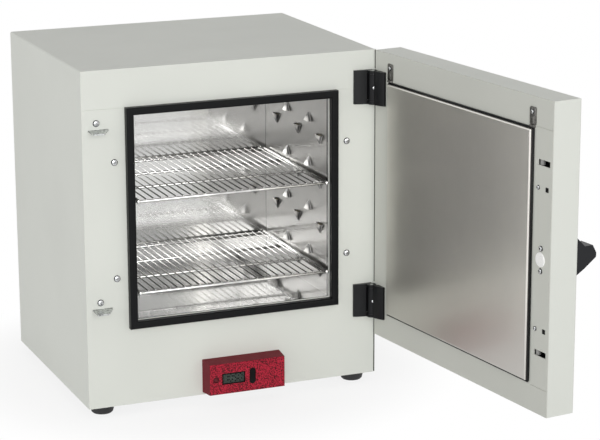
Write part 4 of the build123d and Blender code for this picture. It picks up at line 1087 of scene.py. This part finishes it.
# ---------------------------------------------------------------------- the oven
@dataclass
class Oven:
    """The whole oven: dresses its nodes and adds its fine pieces."""

    paint: Paint = Paint("casing_powder_coat", (0.735, 0.755, 0.705))
    frame_paint: Paint = Paint("door_frame_coat", (0.585, 0.595, 0.55), specular=0.3)
    # Painted shade and highlights on the side walls' pressed tabs, and a dark joint line with painted shade
    # at their back corner.
    wall_sheet: Sheet = Sheet(
        "chamber_wall_sheet", (0.41, 0.40, 0.385), Grain.UPRIGHT, 0.3, 0.5, tabs=0.15
    )
    # Painted shade on the chamber floor, below 0.143 m.
    floor_sheet: Sheet = Sheet(
        "chamber_wrap_sheet",
        (0.62, 0.62, 0.605),
        Grain.LEVEL,
        0.17,
        1.0,
        line_depth=0.0,
        floor=(0.143, 0.155, 0.34),
    )
    # Painted shade towards the bottom of the door panel.
    panel_sheet: Sheet = Sheet(
        "door_panel_sheet", (0.72, 0.70, 0.66), Grain.UPRIGHT, 0.36, 0.12, floor=(0.09, 0.28, 0.74)
    )
    zinc: Plated = Plated("bright_zinc", (0.62, 0.63, 0.63), 0.26, 0.3)
    striker_zinc: Plated = Plated("striker_zinc", (0.68, 0.70, 0.69), 0.3, 0.7, 330.0, 0.00006)
    clip_steel: Plated = Plated("clip_steel", (0.20, 0.195, 0.185), 0.4, 0.55, 420.0, 0.00005)
    wire: Plated = Plated("shelf_wire_polish", (0.76, 0.755, 0.74), 0.2, 0.2, 60.0)
    bright: Plated = Plated("screw_plating", (0.64, 0.65, 0.66), 0.2)
    # Near-black copy of the screw plating: painted shade on the steep faces of the screw heads.
    rim_shade: Plated = Plated("screw_rim_painted_shade", (0.045, 0.048, 0.05), 0.32, 0.4)
    enamel: Moulding = Moulding("hinge_enamel", (0.0045, 0.005, 0.006), 0.34, 1100.0, 0.00002, specular=0.22)
    rubber: Moulding = Moulding(
        "gasket_silicone", (0.0035, 0.004, 0.0045), 0.35, 900.0, 0.00002, specular=0.14
    )
    foot_rubber: Moulding = Moulding("foot_rubber", (0.014, 0.014, 0.015), 0.6, 900.0, 0.00006)
    handle: Moulding = Moulding("handle_moulding", (0.005, 0.006, 0.008), 0.36, 1300.0, 0.00003, specular=0.3)
    key: Moulding = Moulding("rocker_moulding", (0.003, 0.003, 0.003), 0.4, 1300.0, 0.00003, specular=0.1)
    # The red housing's faces behind its front get painted shade.
    red: Moulding = Moulding(
        "red_moulding", (0.285, 0.0085, 0.024), 0.6, 520.0, 0.0003, 0.8, 0.22, front=CONTROLLER_FRONT
    )
    black: Moulding = Moulding("black_moulding", (0.008, 0.008, 0.009), 0.45, specular=0.2)
    nylon: Moulding = Moulding("white_nylon", (0.90, 0.90, 0.89), 0.5)
    grey_nylon: Moulding = Moulding("roller_nylon", (0.30, 0.30, 0.29), 0.45)
    crystal: Moulding = Moulding("liquid_crystal", (0.060, 0.082, 0.068), 0.5, 1500.0, 0.00001, specular=0.1)
    ink: Moulding = Moulding("crystal_figures", (0.001, 0.0015, 0.0015), 0.5, 1500.0, 0.0, specular=0.1)
    lamp: Moulding = Moulding("lamp_lens", (0.10, 0.003, 0.008), 0.25, 1500.0, 0.00001, specular=0.3)
    maroon: Moulding = Moulding("lamp_ring", (0.07, 0.004, 0.008), 0.5, 1500.0, 0.00001, specular=0.2)
    board: Moulding = Moulding("circuit_laminate", (0.03, 0.16, 0.07), 0.4, 600.0, 0.00003)
    sheath: Moulding = Moulding("heater_sheath", (0.09, 0.08, 0.075), 0.5, 700.0, 0.00005)
    window: Clear = Clear("window_acrylic", (0.9, 0.93, 0.9), 0.03, 0.02)
    wool: Wool = Wool("mineral_wool", (0.52, 0.46, 0.30))
    brass: Plated = Plated("pin_brass", (0.75, 0.58, 0.28), 0.25)

    def dress_all(self) -> None:
        """Gives every carried-over node its material."""
        plan: dict[Any, tuple[str, ...]] = {
            self.paint: ("outer_shell", "front_frame", "rear_panel", "door_skin"),
            self.frame_paint: ("door_inner_frame",),
            self.striker_zinc: ("striker_upper", "striker_lower"),
            self.wall_sheet: ("chamber_side_left", "chamber_side_right"),
            self.floor_sheet: ("chamber_wrap",),
            self.panel_sheet: ("door_panel",),
            self.zinc: ("base_tray", "catch_spring_upper", "catch_spring_lower", "heater_tray"),
            self.bright: ("hinge_pins", "temperature_probe", "thermal_cutout"),
            self.enamel: (
                "hinge_leaf_upper_fixed", "hinge_leaf_lower_fixed", "hinge_leaf_upper_door",
                "hinge_leaf_lower_door",
            ),
            self.rubber: ("door_gasket",),
            self.foot_rubber: ("feet",),
            self.handle: ("door_handle",),
            self.key: ("set_rocker",),
            self.red: ("controller_housing",),
            self.window: ("display_window",),
            self.crystal: ("display_module",),
            self.board: ("control_board", "relay_board"),
            self.lamp: ("indicator_lamp",),
            self.black: (
                "mains_inlet", "power_relay", "terminal_block", "catch_body_upper",
                "catch_body_lower", "catch_slide_upper", "catch_slide_lower",
            ),
            self.brass: ("inlet_pins",),
            self.sheath: ("heater_element",),
            self.wool: ("insulation_jacket", "door_insulation"),
            self.nylon: ("handle_plug",),
            self.grey_nylon: ("catch_roller_upper", "catch_roller_lower"),
        }
        for finish, nodes in plan.items():
            dress_nodes(finish.material(), nodes)

    def add_shelves(self) -> None:
        """Adds both wire shelves."""
        finish = self.wire.material()
        WireShelf("shelf_upper", Body.SHELF_UPPER).build(finish)
        WireShelf("shelf_lower", Body.SHELF_LOWER).build(finish)

    def add_screws(self) -> None:
        """Adds every screw that shows, each set where its node is."""
        bright = self.bright.material()
        rim_shade = self.rim_shade.material()
        for node, body, outward, radius, height in (
            ("chamber_screws", Body.CABINET, FRONT, 4.8, 2.6),
            ("striker_screws", Body.CABINET, FRONT, 4.8, 2.6),
            ("rear_screws", Body.CABINET, -FRONT, 3.2, 2.0),
            ("foot_screws", Body.CABINET, -UP, 4.0, 2.2),
            ("clip_screws", Body.DOOR, DOOR_INWARD, 3.2, 2.0),
            ("catch_screws", Body.DOOR, DOOR_INWARD, 3.2, 2.0),
            ("handle_screws", Body.DOOR, DOOR_INWARD, 4.0, 2.2),
        ):
            seats, shank = seats_of(node, outward, height * MM)
            ScrewSet(node, body, seats, outward, radius * MM, height * MM, shank, bright, rim_shade).build()
        for node in ("hinge_screws_fixed", "hinge_screws_door", "controller_screws"):
            dress(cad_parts[node], bright)
        HingeDots(bright).build()

    def build(self) -> None:
        """Builds and dresses the oven."""
        self.dress_all()
        self.add_shelves()
        self.add_screws()
        ink = self.ink.material()
        Readout().build(ink)
        rubber = self.rubber.material()
        PanelTrim().build(rubber, self.clip_steel.material())
        FrontTrim().build(self.maroon.material(), ink)
        CatchCaps().build(self.key.material())
        # A black strip painted as the shadow in the gap at the hinge edge.
        GapShadowStrip().build(rubber)
        HingeShims().build(self.enamel.material())
        CatchSprings().build(self.zinc.material())


def seats_of(node: str, outward: Vector, head: float) -> tuple[list[Vector], float]:
    """Finds where each screw of a node sits.

    Args:
        node: the node that holds the screws.
        outward: direction from the seat to the head.
        head: height of a head, in metres.

    Returns:
        The centre of each head's underside, and the length of the shanks.
    """
    shape = bmesh.new()
    shape.from_mesh(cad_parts[node].data)
    bmesh.ops.remove_doubles(shape, verts=shape.verts, dist=1e-6)
    left = set(shape.verts)
    seats, shank = [], 0.0
    while left:
        island, queue = set(), [left.pop()]
        while queue:
            vert = queue.pop()
            island.add(vert)
            for edge in vert.link_edges:
                other = edge.other_vert(vert)
                if other in left:
                    left.discard(other)
                    queue.append(other)
        reach = [v.co.dot(outward) for v in island]
        low, high = corners_of(island)
        middle = (low + high) / 2
        seat = max(reach) - head
        seats.append(middle + outward * (seat - middle.dot(outward)))
        shank = max(shank, seat - min(reach))
    shape.free()
    seats.sort(key=lambda s: (round(s.z, 4), round(s.x, 4), round(s.y, 4)))
    return seats, shank


# ---------------------------------------------------------------------- studio
def seen_by(tree: bpy.types.NodeTree, path: bpy.types.Node) -> bpy.types.NodeSocket:
    """One for rays that show the surround: from the camera, mirrors and clear pieces."""
    total = path.outputs["Is Camera Ray"]
    for name in ("Is Glossy Ray", "Is Transmission Ray"):
        both = tree.nodes.new("ShaderNodeMath")
        both.operation = "MAXIMUM"
        tree.links.new(total, both.inputs[0])
        tree.links.new(path.outputs[name], both.inputs[1])
        total = both.outputs[0]
    return total


@dataclass
class Studio:
    """Camera, pale floor and soft lights."""

    lens: float = 135.36
    stand: Vector = field(default_factory=lambda: Vector((-1.1217, -3.1393, 1.0869)))
    yaw: float = -22.5
    pitch: float = -14.43
    roll: float = -0.19
    glow: float = 0.82
    glow_from: float = 0.05
    glow_full: float = 0.18
    fill: float = 0.395

    def add_camera(self) -> None:
        """Adds the camera at its stand."""
        data = bpy.data.cameras.new("camera")
        data.lens = self.lens
        data.sensor_width = 36.0
        data.clip_start, data.clip_end = 0.1, 50.0
        camera = new_object("camera", data)
        turn = Matrix.Rotation(math.radians(self.yaw), 4, "Z")
        tilt = Matrix.Rotation(math.radians(90 + self.pitch), 4, "X")
        roll = Matrix.Rotation(math.radians(self.roll), 4, "Z")
        camera.matrix_world = Matrix.Translation(self.stand) @ turn @ tilt @ roll
        bpy.context.scene.camera = camera

    def add_world(self) -> None:
        """Sets a white surround for the camera and an even light for everything else."""
        world = bpy.data.worlds.new("surround")
        bpy.context.scene.world = world
        world.use_nodes = True
        tree = world.node_tree
        tree.nodes.clear()
        output = tree.nodes.new("ShaderNodeOutputWorld")
        seen = tree.nodes.new("ShaderNodeBackground")
        seen.inputs["Color"].default_value = (1, 1, 1, 1)
        seen.inputs["Strength"].default_value = 1.0
        fill = tree.nodes.new("ShaderNodeBackground")
        fill.inputs["Color"].default_value = (1, 0.99, 0.975, 1)
        fill.inputs["Strength"].default_value = self.fill
        path = tree.nodes.new("ShaderNodeLightPath")
        pick = tree.nodes.new("ShaderNodeMixShader")
        tree.links.new(seen_by(tree, path), pick.inputs[0])
        tree.links.new(fill.outputs[0], pick.inputs[1])
        tree.links.new(seen.outputs[0], pick.inputs[2])
        tree.links.new(pick.outputs[0], output.inputs["Surface"])

    def add_floor(self) -> None:
        """Adds the pale floor that keeps the object's shadow."""
        shape = bmesh.new()
        bmesh.ops.create_grid(shape, x_segments=1, y_segments=1, size=6.0)
        data = bpy.data.meshes.new("floor")
        shape.to_mesh(data)
        shape.free()
        floor = new_object("floor", data)
        g = Graph("floor_white")
        ground = g.node("ShaderNodeBsdfDiffuse", None, {"Color": (0.8, 0.8, 0.8)})
        glow = g.node("ShaderNodeEmission", None, {"Color": (1, 1, 1), "Strength": 1.0})
        path = g.node("ShaderNodeLightPath")
        x, y, _ = g.axes(g.place())
        far = g.soft_step(x * x + y * y, self.glow_from, self.glow_full)
        share = far * (1 - self.glow) + self.glow
        seen = Value(g, seen_by(g.tree, path))
        pick = g.node("ShaderNodeMixShader", None, {0: seen * share, 1: ground.outputs[0]})
        g.tree.links.new(glow.outputs[0], pick.inputs[2])
        g.tree.links.new(pick.outputs[0], g.output.inputs["Surface"])
        data.materials.append(g.material)

    def add_lamp(self, name: str, at: Triple, towards: Triple, size: Triple, power: float) -> None:
        """Adds one rectangular soft light.

        Args:
            name: the lamp's name.
            at: where it stands.
            towards: the point it faces.
            size: its width and height.
            power: its strength in watts.
        """
        data = bpy.data.lights.new(name, "AREA")
        data.shape = "RECTANGLE"
        data.size, data.size_y = size[0], size[1]
        data.energy = power
        lamp = new_object(name, data)
        aim = Vector(at) - Vector(towards)
        lamp.matrix_world = Matrix.Translation(Vector(at)) @ facing(aim)

    def build(self) -> None:
        """Sets up the whole studio."""
        bpy.context.scene.view_settings.view_transform = "Standard"
        self.add_camera()
        self.add_world()
        self.add_floor()
        self.add_lamp("key", (-0.75, -4.4, 1.3), (0, 0, 0.3), (2.6, 1.8), 95)
        self.add_lamp("side", (-3.4, -0.8, 1.2), (0, 0, 0.3), (1.6, 1.6), 27)


def main() -> None:
    """Builds the studio and the oven."""
    Studio().build()
    Oven().build()


if __name__ == "__main__":
    main()
